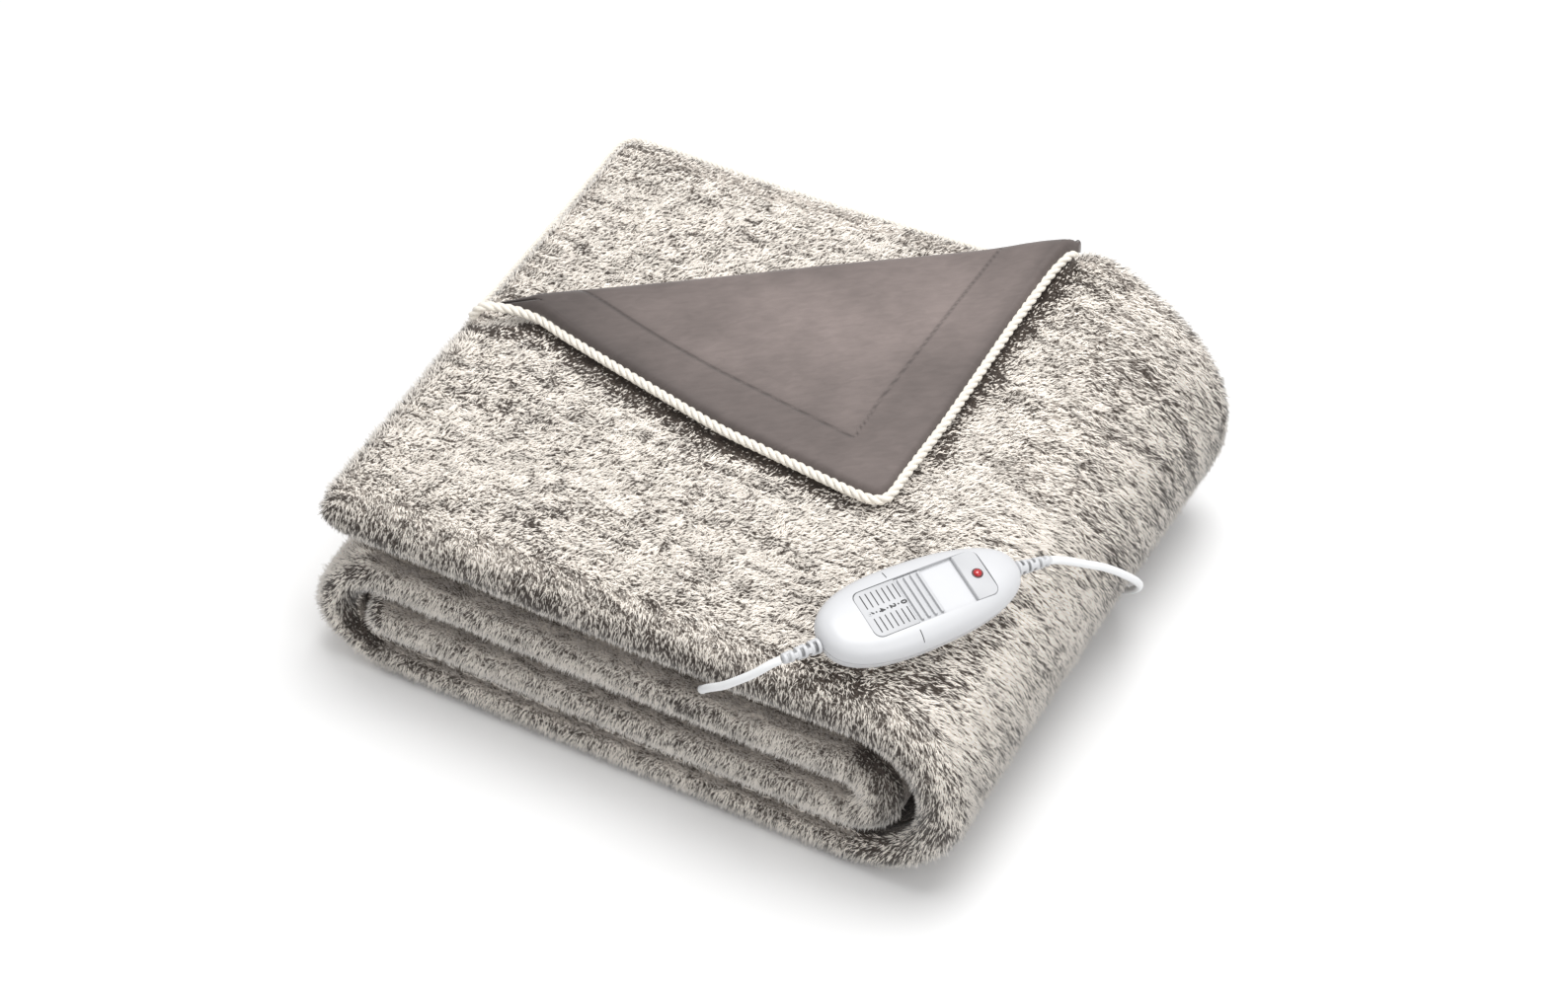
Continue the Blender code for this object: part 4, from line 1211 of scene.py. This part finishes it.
def insideSeam(place):
    # how far a place lies within the sewn line, and below 0 in the border outside it
    x, y = neatPlace(place)
    (frontX, frontY), (endX, endY) = lining["stitch"][1:4:2]
    sideX, sideY = lining["stitch"][3]
    seamY = between(frontY, endY, (x - frontX) / (endX - frontX))
    return min(y - seamY, sideX + (y - sideY) * lining["sideSlope"] - x)


def liningPaintedLight(s, w, reach, place):
    # a painted highlight along the fold's crest, painted shade at the roll, at the free edge and towards the
    # corner's start, and darker in the border outside the seam
    start, gain, *span = lining["lateTone"]
    late = start + gain * ease(s, *span)
    start, gain, low, high = lining["edgeTone"]
    edge = start + gain * clamp((reach - w - low) / (high - low))
    base, gain, middle, width = lining["crestHighlight"]
    dark, rollMiddle, rollWidth = lining["rollShade"]
    crest = base + gain * hump(w, middle, width) - dark * hump(w, rollMiddle, rollWidth)
    return late * edge * crest * (1 - risen(insideSeam(place), lining["borderTone"]))


def buildLining():
    line = edgeLine()
    stations = lining["stations"]
    arcSteps = lining["arcSteps"]
    arc = lining["arcShare"]
    columns = arcSteps + lining["rowSteps"]
    shape = bmesh.new()
    bmesh.ops.create_grid(shape, x_segments=stations, y_segments=columns, size=0.5)
    seam = shape.verts.layers.float.new("seamGap")
    tone = shape.verts.layers.float.new("tone")
    for vert in shape.verts:
        i = round((vert.co.x + 0.5) * stations)
        j = round((vert.co.y + 0.5) * columns)
        s = between(corner["first"], corner["length"], i / stations)
        share = arc * j / arcSteps
        if j > arcSteps:
            share = between(arc, 1.0, (j - arcSteps) / lining["rowSteps"])
        vert.co = liningPoint(s, share, line)
        reach = flapReach(s, line)
        vert[seam] = seamDistance(vert.co)
        # painted light and shade of the lining, kept in its tone attribute
        vert[tone] = liningPaintedLight(s, max(share - arc, 0.0) / (1 - arc) * reach, reach, vert.co)
    sheet = finishMesh("cornerLining", shape, velourMaterial())
    wall = sheet.modifiers.new("wall", "SOLIDIFY")
    wall.thickness = lining["thickness"]
    wall.offset = -1 if sheet.data.polygons[stations * 40].normal.z > 0 else 1
    settle(sheet)
    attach(sheet, "blanket")
    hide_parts("flap_lining")


piping = {
    "strands": 3,
    "radius": 0.0036,
    "strand": 0.0019,
    "pitch": 0.0190,
    "ringsPerTurn": 14,
    "sides": 7,
    "plump": 1.12,             # a strand is this much wider along the turn
    "start": (-0.0115, -0.0085, 0.0006),
    "stop": (0.3862, 0.0005, 0.0035),
    "lastS": 0.386,
    "height": 0.0054,
    "lift": 0.0022,
    "liftPlace": (-0.004, 0.016),
    "tint": (0.80, 0.755, 0.68),
    "fibres": (1900.0, 0.22),
    "clouds": (160.0, 0.16),
    "leastTone": 0.82,
    "edgeRadius": 0.0022,
    "edgeStrand": 0.00115,
    "edgePitch": 0.0125,
    "edgeSink": 0.0028,
    "edgeZ": 0.145,
    "edgeFront": 0.207,
    "edgeRight": 0.300,
    "edgeSteps": (8, 6, 9),
    "edgePower": 0.6,
}


def pipingRoute():
    route = [creasePoint(*piping["start"])]
    for s, w in corner["line"]:
        if s < piping["lastS"]:
            route.append(creasePoint(s, w, piping["height"] + piping["lift"] * hump(s, *piping["liftPlace"])))
    route.append(creasePoint(*piping["stop"]))
    return route


def edgePipingRoute():
    # along the left end behind the corner, round the back's left and along the back
    rim = layerHalf("top")
    drop = piping["edgeZ"] - layerMiddle("top")
    reach = math.sqrt(rim * rim - drop * drop) + piping["edgeRadius"] - piping["edgeSink"]
    turnY = stack["depth"] - rim
    sideSteps, turnSteps, backSteps = piping["edgeSteps"]
    places = []
    for i in range(sideSteps + 1):
        places.append((rim - reach, between(piping["edgeFront"], turnY, i / sideSteps)))
    for i in range(1, turnSteps):
        angle = math.pi / 2 * i / turnSteps
        power = piping["edgePower"]
        places.append((rim - reach * math.cos(angle) ** power, turnY + reach * math.sin(angle) ** power))
    for i in range(backSteps + 1):
        places.append((between(rim, piping["edgeRight"], i / backSteps), turnY + reach))
    return [drape(x, y, piping["edgeZ"]) for x, y in places]


def ringAngles(sides, shift=0.0):
    return [2 * math.pi * (k + shift) / sides for k in range(sides)]


def twistStrands(name, route, outer, strand, pitch, material):
    # strands laid round each other along the route
    turns = piping["ringsPerTurn"]
    path = smoothRoute(route, pitch / turns)
    shape = bmesh.new()
    for number in range(piping["strands"]):
        rings = []
        for i, point in enumerate(path):
            ahead = (path[min(i + 1, len(path) - 1)] - path[max(i - 1, 0)]).normalized()
            side = ahead.cross(Vector((0, 0, 1))).normalized()
            up = side.cross(ahead)
            angle = 2 * math.pi * (number / piping["strands"] - i / turns)
            outward = side * math.cos(angle) + up * math.sin(angle)
            around = ahead.cross(outward) * piping["plump"]
            middle = point + outward * (outer - strand)
            rings.append([middle + (outward * math.cos(a) + around * math.sin(a)) * strand
                          for a in ringAngles(piping["sides"])])
        skinRings(shape, rings)
    return finishMesh(name, shape, material)


def yarnMaterial():
    material, tree, shader = newMaterial("creamYarn", roughness=0.85, Sheen_Weight=0.3)
    place = addNode(tree, "ShaderNodeTexCoord").outputs["Object"]
    fibreScale, fibreShare = piping["fibres"]
    cloudScale, cloudShare = piping["clouds"]
    fibres = noise(tree, place, fibreScale, 2.0)
    cloud = noise(tree, place, cloudScale, 2.0)
    tone = plus(tree, times(tree, fibres, fibreShare), times(tree, cloud, cloudShare))
    tinted = vectorMath(tree, "SCALE", piping["tint"], plus(tree, tone, piping["leastTone"]))
    feed(tree, shader, Base_Color=tinted, Normal=bump(tree, fibres, 0.5, 0.0003))
    return material


def buildPiping():
    yarn = yarnMaterial()
    corded = (piping["radius"], piping["strand"], piping["pitch"])
    thin = (piping["edgeRadius"], piping["edgeStrand"], piping["edgePitch"])
    for name, route, sizes, node in (("cornerPiping", pipingRoute(), corded, "flap_piping"),
                                     ("edgePipingTwist", edgePipingRoute(), thin, "edge_piping")):
        rope = twistStrands(name, route, *sizes, yarn)
        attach(rope, "blanket")
        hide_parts(node)
        print(name, len(rope.data.polygons))


# hand switch: u runs along it towards the mains lead, v across, w up from its underside
switch = {
    "seat": (0.3986, 0.0758, 0.1664),
    "turn": math.radians(56.5),
    "lean": math.radians(10.4),
    "pitch": math.radians(2.9),
    "halfLength": 0.0702,
    "halfWidth": 0.0302,
    "taper": 0.10,
    "power": 2.4,
    "sides": 112,
    "baseProfile": (  # height and inset of each ring
        (0.0, 0.0190), (0.0006, 0.0150), (0.0015, 0.0118), (0.0025, 0.0095), (0.0040, 0.0067),
        (0.0060, 0.0045), (0.0085, 0.0024), (0.0110, 0.0012), (0.0140, 0.0004), (0.0158, 0.0001),
        (0.0160, 0.0004),
    ),
    "topProfile": (
        (0.0163, 0.0004), (0.0165, 0.0001), (0.0176, 0.0001), (0.0190, 0.0004), (0.0208, 0.0009),
        (0.0225, 0.0018), (0.0239, 0.0029), (0.0250, 0.0042), (0.0260, 0.0059), (0.0268, 0.0078),
        (0.0273, 0.0097), (0.0277, 0.0118), (0.0281, 0.0165), (0.0283, 0.0230),
    ),
    "widestRing": 3,           # of the top profile; the case's top begins above it
    "well": (-0.0418, 0.0464, 0.0176, 0.0055),      # start, stop, half width, corner
    "wellFloor": 0.0248,
    "floorClear": 0.0003,
    "cutTop": 0.04,
    "slider": (-0.0413, 0.0076, 0.0171, 0.0055),
    "sliderTop": 0.0277,
    "gripStart": -0.0113,
    "gripOverlap": 0.0004,
    "gripCorner": 0.0005,
    "gripFloor": 0.0263,
    "gripEdge": 0.0003,
    "plate": (0.0303, 0.0461, 0.0173, 0.0052),
    "squareCorner": 0.0004,
    "plateEdge": 0.0005,
    "ribFirst": -0.0086,
    "ribPitch": 0.0047,
    "ribs": 4,
    "ribHalf": (0.0010, 0.0160),
    "ribCorner": 0.0009,
    "ribHeights": (-0.0003, 0.0007),                # under the grip's floor, over the slider's top
    "ribEdge": 0.0006,
    "cordAxis": 0.0145,
    "reliefLength": 0.025,
    "reliefRadii": (0.0050, 0.0034),
    "reliefSlots": 5,
    "reliefPlaces": (0.0006, 0.0004),               # past the case's ends, mains side and cloth side
    "mainsDip": math.radians(11),
}

# strain reliefs: sleeves of lands and slots, cut down to a core
relief = {
    "sides": 48,
    "shares": (0.04, 0.16, 0.84, 0.96),             # rings of each land and of each slot
    "landEdge": 0.0002,
    "slotEdge": (0.42, 0.58),
    "core": 0.0028,
    "slopeDepth": 0.6,
    # painted shade inside the slots grows between these depths
    "slotShadeDepths": (0.0004, 0.0012),
}

# the lamp's lens, a low dome, and the ring round it as rows of height and radius
lamp = {
    "u": 0.0394,
    "radius": 0.0027,
    "foot": (0.0001, 0.0004),
    "rise": 0.0016,
    "latitudes": (0, 12, 24, 36, 48, 60, 72, 83),
    "ring": ((-0.0002, 0.0035), (0.0002, 0.0036), (0.0004, 0.0034), (0.0002, 0.0026)),
    "sides": 32,
}

# the scale and its numbers on the slider, and the index marks on the case
markings = {
    "proud": 0.00009,
    "lineFirst": -0.0366,
    "linePitch": 0.00385,
    "lines": 7,
    "lineSpan": (0.0037, 0.0143),
    "lineWidth": 0.00070,
    "signs": ("0", "•", "2", "•", "4", "•", "6"),
    "signSize": 0.0054,
    "signWeight": 0.00024,
    "dotShare": 0.5,
    "indexU": -0.0143,
    "indexSpans": ((0.0196, 0.0247), (-0.0214, -0.0285)),
    "indexSteps": 6,
    "indexWidth": 0.0005,
    "indexHeight": 0.0003,
}

# moulded plastics, print and metal: tint, roughness, grain and what else the shader is told
finishes = {
    "switchShell": ((0.56, 0.565, 0.58), 0.36, 2600.0, {"Coat_Weight": 0.05}),
    "switchSlider": ((0.507, 0.512, 0.526), 0.50, 2600.0, {"Coat_Weight": 0.0}),
    "inkDark": ((0.014, 0.014, 0.016), 0.5, 2600.0, {"Coat_Weight": 0.0}),
    "lampRed": ((0.42, 0.004, 0.008), 0.08, 2600.0, {"Coat_Weight": 0.8, "Coat_Roughness": 0.05}),
    "lampSeat": ((0.05, 0.012, 0.012), 0.35, 2600.0, {}),
    "sheathWhite": ((0.80, 0.81, 0.82), 0.42, 1400.0, {"Coat_Weight": 0.05}),
    "plugWhite": ((0.77, 0.78, 0.79), 0.4, 2600.0, {}),
    "pinNickel": ((0.75, 0.73, 0.70), 0.25, 900.0, {"Metallic": 1.0, "Coat_Weight": 0.0}),
}

# what all these finishes share
finishWear = {
    "coat": {"Coat_Weight": 0.15, "Coat_Roughness": 0.2},
    "cloudScale": 90.0,
    "gloss": (-0.05, 0.07),
    "tone": (0.975, 1.025),
    "slotShade": 0.62,
    "grainStrength": 0.08,
    "grainDepth": 0.0002,
}


def plasticMaterial(name):
    # a fine spark-eroded grain, a slight unevenness of gloss and tone, and painted shade inside the slots
    tint, roughness, grainScale, values = finishes[name]
    material, tree, shader = newMaterial(name, tint, roughness, **{**finishWear["coat"], **values})
    place = addNode(tree, "ShaderNodeTexCoord").outputs["Object"]
    grain = noise(tree, place, grainScale, 2.0)
    cloud = noise(tree, place, finishWear["cloudScale"], 2.0)
    duller, shinier = finishWear["gloss"]
    gloss = mapRange(tree, cloud, (0.0, 1.0), (roughness + duller, roughness + shinier))
    tone = mapRange(tree, cloud, (0.0, 1.0), finishWear["tone"])
    # painted shade inside the slots
    depth = minus(tree, 1.0, times(tree, readAttribute(tree, "slot"), finishWear["slotShade"]))
    feed(tree, shader, Roughness=gloss, Base_Color=vectorMath(tree, "SCALE", tint, times(tree, tone, depth)),
         Normal=bump(tree, grain, finishWear["grainStrength"], finishWear["grainDepth"]))
    return material


def switchMatrix():
    up = Vector((math.sin(switch["lean"]), -math.sin(switch["pitch"]), math.cos(switch["lean"]))).normalized()
    along = Vector((math.cos(switch["turn"]), math.sin(switch["turn"]), 0.0))
    along = (along - up * along.dot(up)).normalized()
    frameMatrix = Matrix((along, up.cross(along), up)).transposed().to_4x4()
    frameMatrix.translation = placedRoute([switch["seat"]])[0]
    return frameMatrix


def eggPoint(angle, inset, height):
    c = math.cos(angle)
    s = math.sin(angle)
    u = math.copysign(abs(c) ** (2 / switch["power"]), c) * (switch["halfLength"] - inset)
    v = math.copysign(abs(s) ** (2 / switch["power"]), s) * (switch["halfWidth"] - inset)
    return Vector((u, v * (1 - switch["taper"] * u / switch["halfLength"]), height))


def eggRings(profile):
    return [[eggPoint(angle, inset, w) for angle in ringAngles(switch["sides"], 0.5)] for w, inset in profile]


def pastEgg(u, wide, inset):
    # above 0 outside the case's outline at this inset
    a = abs(u) / (switch["halfLength"] - inset)
    b = abs(wide) / (switch["halfWidth"] - inset)
    return a ** switch["power"] + b ** switch["power"] - 1


def shellHeight(u, v):
    # height of the case's top at a place, from its profile
    wide = v / (1 - switch["taper"] * u / switch["halfLength"])
    rings = switch["topProfile"][switch["widestRing"]:]
    for low, high in zip(rings, rings[1:]):
        within = pastEgg(u, wide, low[1])
        past = pastEgg(u, wide, high[1])
        if past > 0:
            return between(low[0], high[0], clamp(within / (within - past)))
    return rings[-1][0]


def skinRings(shape, rings):
    previous = None
    for ring in rings:
        made = bmesh.ops.create_circle(shape, segments=len(ring), radius=1.0)["verts"]
        for vert, place in zip(made, ring):
            vert.co = place
        edges = list({edge for vert in made for edge in vert.link_edges})
        if previous:
            bmesh.ops.bridge_loops(shape, edges=previous + edges)
        else:
            bmesh.ops.contextual_create(shape, geom=edges)
        previous = edges
    bmesh.ops.contextual_create(shape, geom=previous)
    bmesh.ops.recalc_face_normals(shape, faces=shape.faces)
    return shape


def plateOutline(start, stop, halfWidth, radius, roundStart=True, roundStop=True, steps=8):
    outline = []
    for u, v, first, isRound in ((stop, halfWidth, 0, roundStop), (start, halfWidth, 90, roundStart),
                                 (start, -halfWidth, 180, roundStart), (stop, -halfWidth, 270, roundStop)):
        bend = radius if isRound else switch["squareCorner"]
        centreU = u - math.copysign(bend, u - (start + stop) / 2)
        centreV = v - math.copysign(bend, v)
        for i in range(steps + 1):
            angle = math.radians(first + 90 * i / steps)
            outline.append((centreU + bend * math.cos(angle), centreV + bend * math.sin(angle)))
    return outline


def insetRing(outline, amount, w):
    ring = []
    for k, (u, v) in enumerate(outline):
        tangent = (Vector(outline[(k + 1) % len(outline)]) - Vector(outline[k - 1])).normalized()
        ring.append((u - tangent.y * amount, v + tangent.x * amount, w))
    return ring


def bevelledPlate(outline, low, high, edge=switch["plateEdge"]):
    # a plate with its top edge rounded
    levels = ((0.0, low), (0.0, high - edge), (edge * 0.3, high - edge * 0.3), (edge, high))
    return skinRings(bmesh.new(), [insetRing(outline, amount, w) for amount, w in levels])


def turnedShape(profile, sides):
    # turned about u from rows of (u, radius)
    rings = []
    for u, radius in profile:
        rings.append([(u, radius * math.cos(angle), radius * math.sin(angle)) for angle in ringAngles(sides)])
    return skinRings(bmesh.new(), rings)


def reliefShape(length, radii, slots):
    # a tapered sleeve with pairs of slots, each pair a quarter turn from the next
    land = length / (2 * slots + 1)
    first, *_, last = relief["shares"]
    slotStart, slotStop = relief["slotEdge"]
    rings = []
    for i in range(2 * slots + 1):
        isSlot = i % 2 == 1
        shift = math.pi / 4 if (i // 2) % 2 else -math.pi / 4
        for share in relief["shares"]:
            atEdge = share in (first, last)
            u = (i + share) * land
            full = between(radii[0], radii[1], u / length)
            if atEdge and not isSlot:
                full -= relief["landEdge"]
            deep = relief["slopeDepth"] if atEdge else 1.0
            ring = []
            for angle in ringAngles(relief["sides"]):
                cut = clamp((abs(math.cos(angle + shift)) - slotStart) / (slotStop - slotStart))
                radius = full - (cut * (full - relief["core"]) * deep if isSlot else 0.0)
                ring.append((u, radius * math.cos(angle), radius * math.sin(angle)))
            rings.append(ring)
    shape = skinRings(bmesh.new(), rings)
    # painted shade inside the slots, darker the deeper they are cut
    slot = shape.verts.layers.float.new("slot")
    shallow, dark = relief["slotShadeDepths"]
    for vert in shape.verts:
        sunk = between(radii[0], radii[1], vert.co.x / length) - math.hypot(vert.co.y, vert.co.z)
        vert[slot] = clamp((sunk - shallow) / (dark - shallow))
    return shape


def addPiece(name, shape, place, material, node=None, body="blanket", angle=40):
    bmesh.ops.transform(shape, matrix=place, verts=shape.verts)
    thing = finishMesh(name, shape, material, angle=angle)
    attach(thing, body)
    if node:
        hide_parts(node)
    return thing


def cutAway(thing, helper):
    cut = thing.modifiers.new("cut", "BOOLEAN")
    cut.operation = "DIFFERENCE"
    cut.solver = "EXACT"
    cut.object = helper
    settle(thing)
    bpy.data.objects.remove(helper)


def buildSwitch():
    at = switchMatrix()
    shell = plasticMaterial("switchShell")
    buildCase(at, shell)
    buildPlates(at, plasticMaterial("switchSlider"))
    buildLamp(at)
    buildMarkings(at, plasticMaterial("inkDark"))
    mainsPlace, clothPlace = switch["reliefPlaces"]
    for name, node, turn, dip, u in (
            ("reliefMains", "relief_mains_side", 0.0, switch["mainsDip"], switch["halfLength"] + mainsPlace),
            ("reliefCloth", "relief_cloth_side", math.pi, 0.0, -switch["halfLength"] - clothPlace)):
        seat = Matrix.Translation((u, 0, switch["cordAxis"])) @ Matrix.Rotation(turn, 4, "Z")
        shape = reliefShape(switch["reliefLength"], switch["reliefRadii"], switch["reliefSlots"])
        addPiece(name, shape, at @ seat @ Matrix.Rotation(dip, 4, "Y"), shell, node, angle=60)
    print("hand switch done")


def buildCase(at, shell):
    shape = skinRings(bmesh.new(), eggRings(switch["baseProfile"]))
    addPiece("switchCase", shape, at, shell, "handset_base")
    cap = finishMesh("switchCap", skinRings(bmesh.new(), eggRings(switch["topProfile"])), shell)
    outline = plateOutline(*switch["well"])
    rings = [[(u, v, w) for u, v in outline] for w in (switch["wellFloor"], switch["cutTop"])]
    cutAway(cap, finishMesh("wellShape", skinRings(bmesh.new(), rings)))
    cap.data.transform(at)
    cap.data.shade_smooth()
    cap.data.set_sharp_from_angle(angle=math.radians(30))
    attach(cap, "blanket")
    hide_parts("handset_top")


def buildPlates(at, finish):
    # the slider with its grip and ribs, and the fixed plate of the lamp
    floorTop = switch["wellFloor"] + switch["floorClear"]
    start, stop, half, radius = switch["slider"]
    shape = bevelledPlate(plateOutline(start, switch["gripStart"], half, radius, roundStop=False),
                          floorTop, switch["sliderTop"])
    addPiece("switchSlider", shape, at, finish, "slide_switch", "slider")
    outline = plateOutline(switch["gripStart"] - switch["gripOverlap"], stop, half, switch["gripCorner"])
    shape = bevelledPlate(outline, floorTop, switch["gripFloor"], switch["gripEdge"])
    addPiece("gripFloor", shape, at, finish, body="slider")
    ribWidth, ribReach = switch["ribHalf"]
    under, over = switch["ribHeights"]
    foot = switch["gripFloor"] + under
    crown = switch["sliderTop"] + over
    for i in range(switch["ribs"]):
        middle = switch["ribFirst"] + switch["ribPitch"] * i
        outline = plateOutline(middle - ribWidth, middle + ribWidth, ribReach, switch["ribCorner"], steps=5)
        shape = bevelledPlate(outline, foot, crown, switch["ribEdge"])
        addPiece(f"gripRib{i + 1}", shape, at, finish, body="slider")
    shape = bevelledPlate(plateOutline(*switch["plate"], roundStart=False), floorTop, switch["sliderTop"])
    addPiece("lampPlate", shape, at, finish, "lamp_plate")


def buildLamp(at):
    upright = Matrix.Rotation(-math.pi / 2, 4, "Y")
    seat = at @ Matrix.Translation((lamp["u"], 0, switch["sliderTop"])) @ upright
    foot, dome = lamp["foot"]
    profile = [(foot, lamp["radius"])]
    for latitude in lamp["latitudes"]:
        angle = math.radians(latitude)
        profile.append((dome + lamp["rise"] * math.sin(angle), lamp["radius"] * math.cos(angle)))
    shape = turnedShape(profile, lamp["sides"])
    addPiece("lampDome", shape, seat, plasticMaterial("lampRed"), "lamp_lens", angle=60)
    shape = turnedShape(lamp["ring"], lamp["sides"])
    addPiece("lampRing", shape, seat, plasticMaterial("lampSeat"), angle=60)


def buildMarkings(at, ink):
    top = switch["sliderTop"]
    proud = markings["proud"]
    shape = bmesh.new()
    near, far = markings["lineSpan"]
    for i in range(markings["lines"]):
        u = markings["lineFirst"] + markings["linePitch"] * i
        for side in (1, -1):
            made = bmesh.ops.create_cube(shape, size=1.0)["verts"]
            bmesh.ops.scale(shape, verts=made, vec=(markings["lineWidth"], far - near, proud * 2))
            bmesh.ops.translate(shape, verts=made, vec=(u, side * (near + far) / 2, top))
    addPiece("scaleLines", shape, at, ink, body="slider", angle=30)

    letters = bmesh.new()
    for i, sign in enumerate(reversed(markings["signs"])):
        text = bpy.data.curves.new("sign", "FONT")
        text.body = sign
        text.size = markings["signSize"] * (1.0 if sign != "•" else markings["dotShare"])
        text.extrude = proud
        text.offset = markings["signWeight"]
        text.align_x = "CENTER"
        text.align_y = "CENTER"
        holder = addObject("sign", text)
        depsgraph = bpy.context.evaluated_depsgraph_get()
        flatText = bpy.data.meshes.new_from_object(holder.evaluated_get(depsgraph))
        u = markings["lineFirst"] + markings["linePitch"] * i
        flatText.transform(Matrix.Translation((u, 0, top)) @ Matrix.Rotation(-math.pi / 2, 4, "Z"))
        letters.from_mesh(flatText)
        bpy.data.objects.remove(holder)
    addPiece("scaleNumbers", letters, at, ink, body="slider", angle=30)

    # the index marks follow the round of the case
    shape = bmesh.new()
    steps = markings["indexSteps"]
    for near, far in markings["indexSpans"]:
        for i in range(steps):
            ends = (between(near, far, i / steps), between(near, far, (i + 1) / steps))
            for vert in bmesh.ops.create_cube(shape, size=1.0)["verts"]:
                u = markings["indexU"] + vert.co.x * markings["indexWidth"]
                v = ends[1] if vert.co.y > 0 else ends[0]
                vert.co = (u, v, shellHeight(markings["indexU"], v) + vert.co.z * markings["indexHeight"])
    bmesh.ops.recalc_face_normals(shape, faces=shape.faces)
    addPiece("indexMarks", shape, at, ink, angle=30)


# plug on the end of the mains lead
plug = {
    "end": (0.2355, 0.4970, 0.0069),
    "reliefLength": 0.022,
    "reliefRadii": (0.0035, 0.0056),
    "reliefSlots": 4,
    "gap": 0.0001,
    "length": 0.033,
    "sections": (  # share of the length, width, thickness
        (0.0, 0.0112, 0.0104), (0.02, 0.0125, 0.0118), (0.15, 0.0155, 0.0124), (0.30, 0.0200, 0.0130),
        (0.46, 0.0256, 0.0134), (0.62, 0.0310, 0.0136), (0.72, 0.0338, 0.0136), (0.80, 0.0350, 0.0136),
        (0.97, 0.0353, 0.0136), (1.0, 0.0342, 0.0124)),
    "powers": (0.75, 0.6),     # how square the sections are, across and up
    "sides": 48,
    "pinSpacing": 0.019,
    "pinRadius": 0.0020,
    "pinGap": 0.0003,
    "pinRows": ((-0.0005, 1.0), (0.0176, 1.0), (0.0185, 0.86), (0.019, 0.5)),
    "pinSides": 24,
}


def plugRing(u, width, thickness):
    ring = []
    acrossPower, upPower = plug["powers"]
    for angle in ringAngles(plug["sides"], 0.5):
        c = math.cos(angle)
        s = math.sin(angle)
        ring.append((u, width / 2 * math.copysign(abs(c) ** acrossPower, c),
                     thickness / 2 * math.copysign(abs(s) ** upPower, s)))
    return ring


def buildPlug():
    white = plasticMaterial("plugWhite")
    metal = plasticMaterial("pinNickel")
    at = Matrix.Translation(placedRoute([plug["end"]])[0]) @ Matrix.Rotation(math.pi, 4, "Z")
    shape = reliefShape(plug["reliefLength"], plug["reliefRadii"], plug["reliefSlots"])
    pieces = [addPiece("plugRelief", shape, at, white, "plug_relief", angle=60)]
    start = plug["reliefLength"] + plug["gap"]
    rings = [plugRing(start + plug["length"] * share, *size) for share, *size in plug["sections"]]
    shape = skinRings(bmesh.new(), rings)
    pieces.append(addPiece("plugShell", shape, at, white, "plug_body", angle=50))
    profile = [(u, plug["pinRadius"] * share) for u, share in plug["pinRows"]]
    face = start + plug["length"] + plug["pinGap"]
    for name, node, side in (("pinLeft", "plug_pin_left", 1), ("pinRight", "plug_pin_right", -1)):
        seat = at @ Matrix.Translation((face, side * plug["pinSpacing"] / 2, 0))
        shape = turnedShape(profile, plug["pinSides"])
        pieces.append(addPiece(name, shape, seat, metal, node, angle=50))
    print("plug done")
    return pieces


makeStudio()
plugPieces = buildPlug()
buildLeads()
buildBlanket()
buildLining()
buildPiping()
buildSwitch()
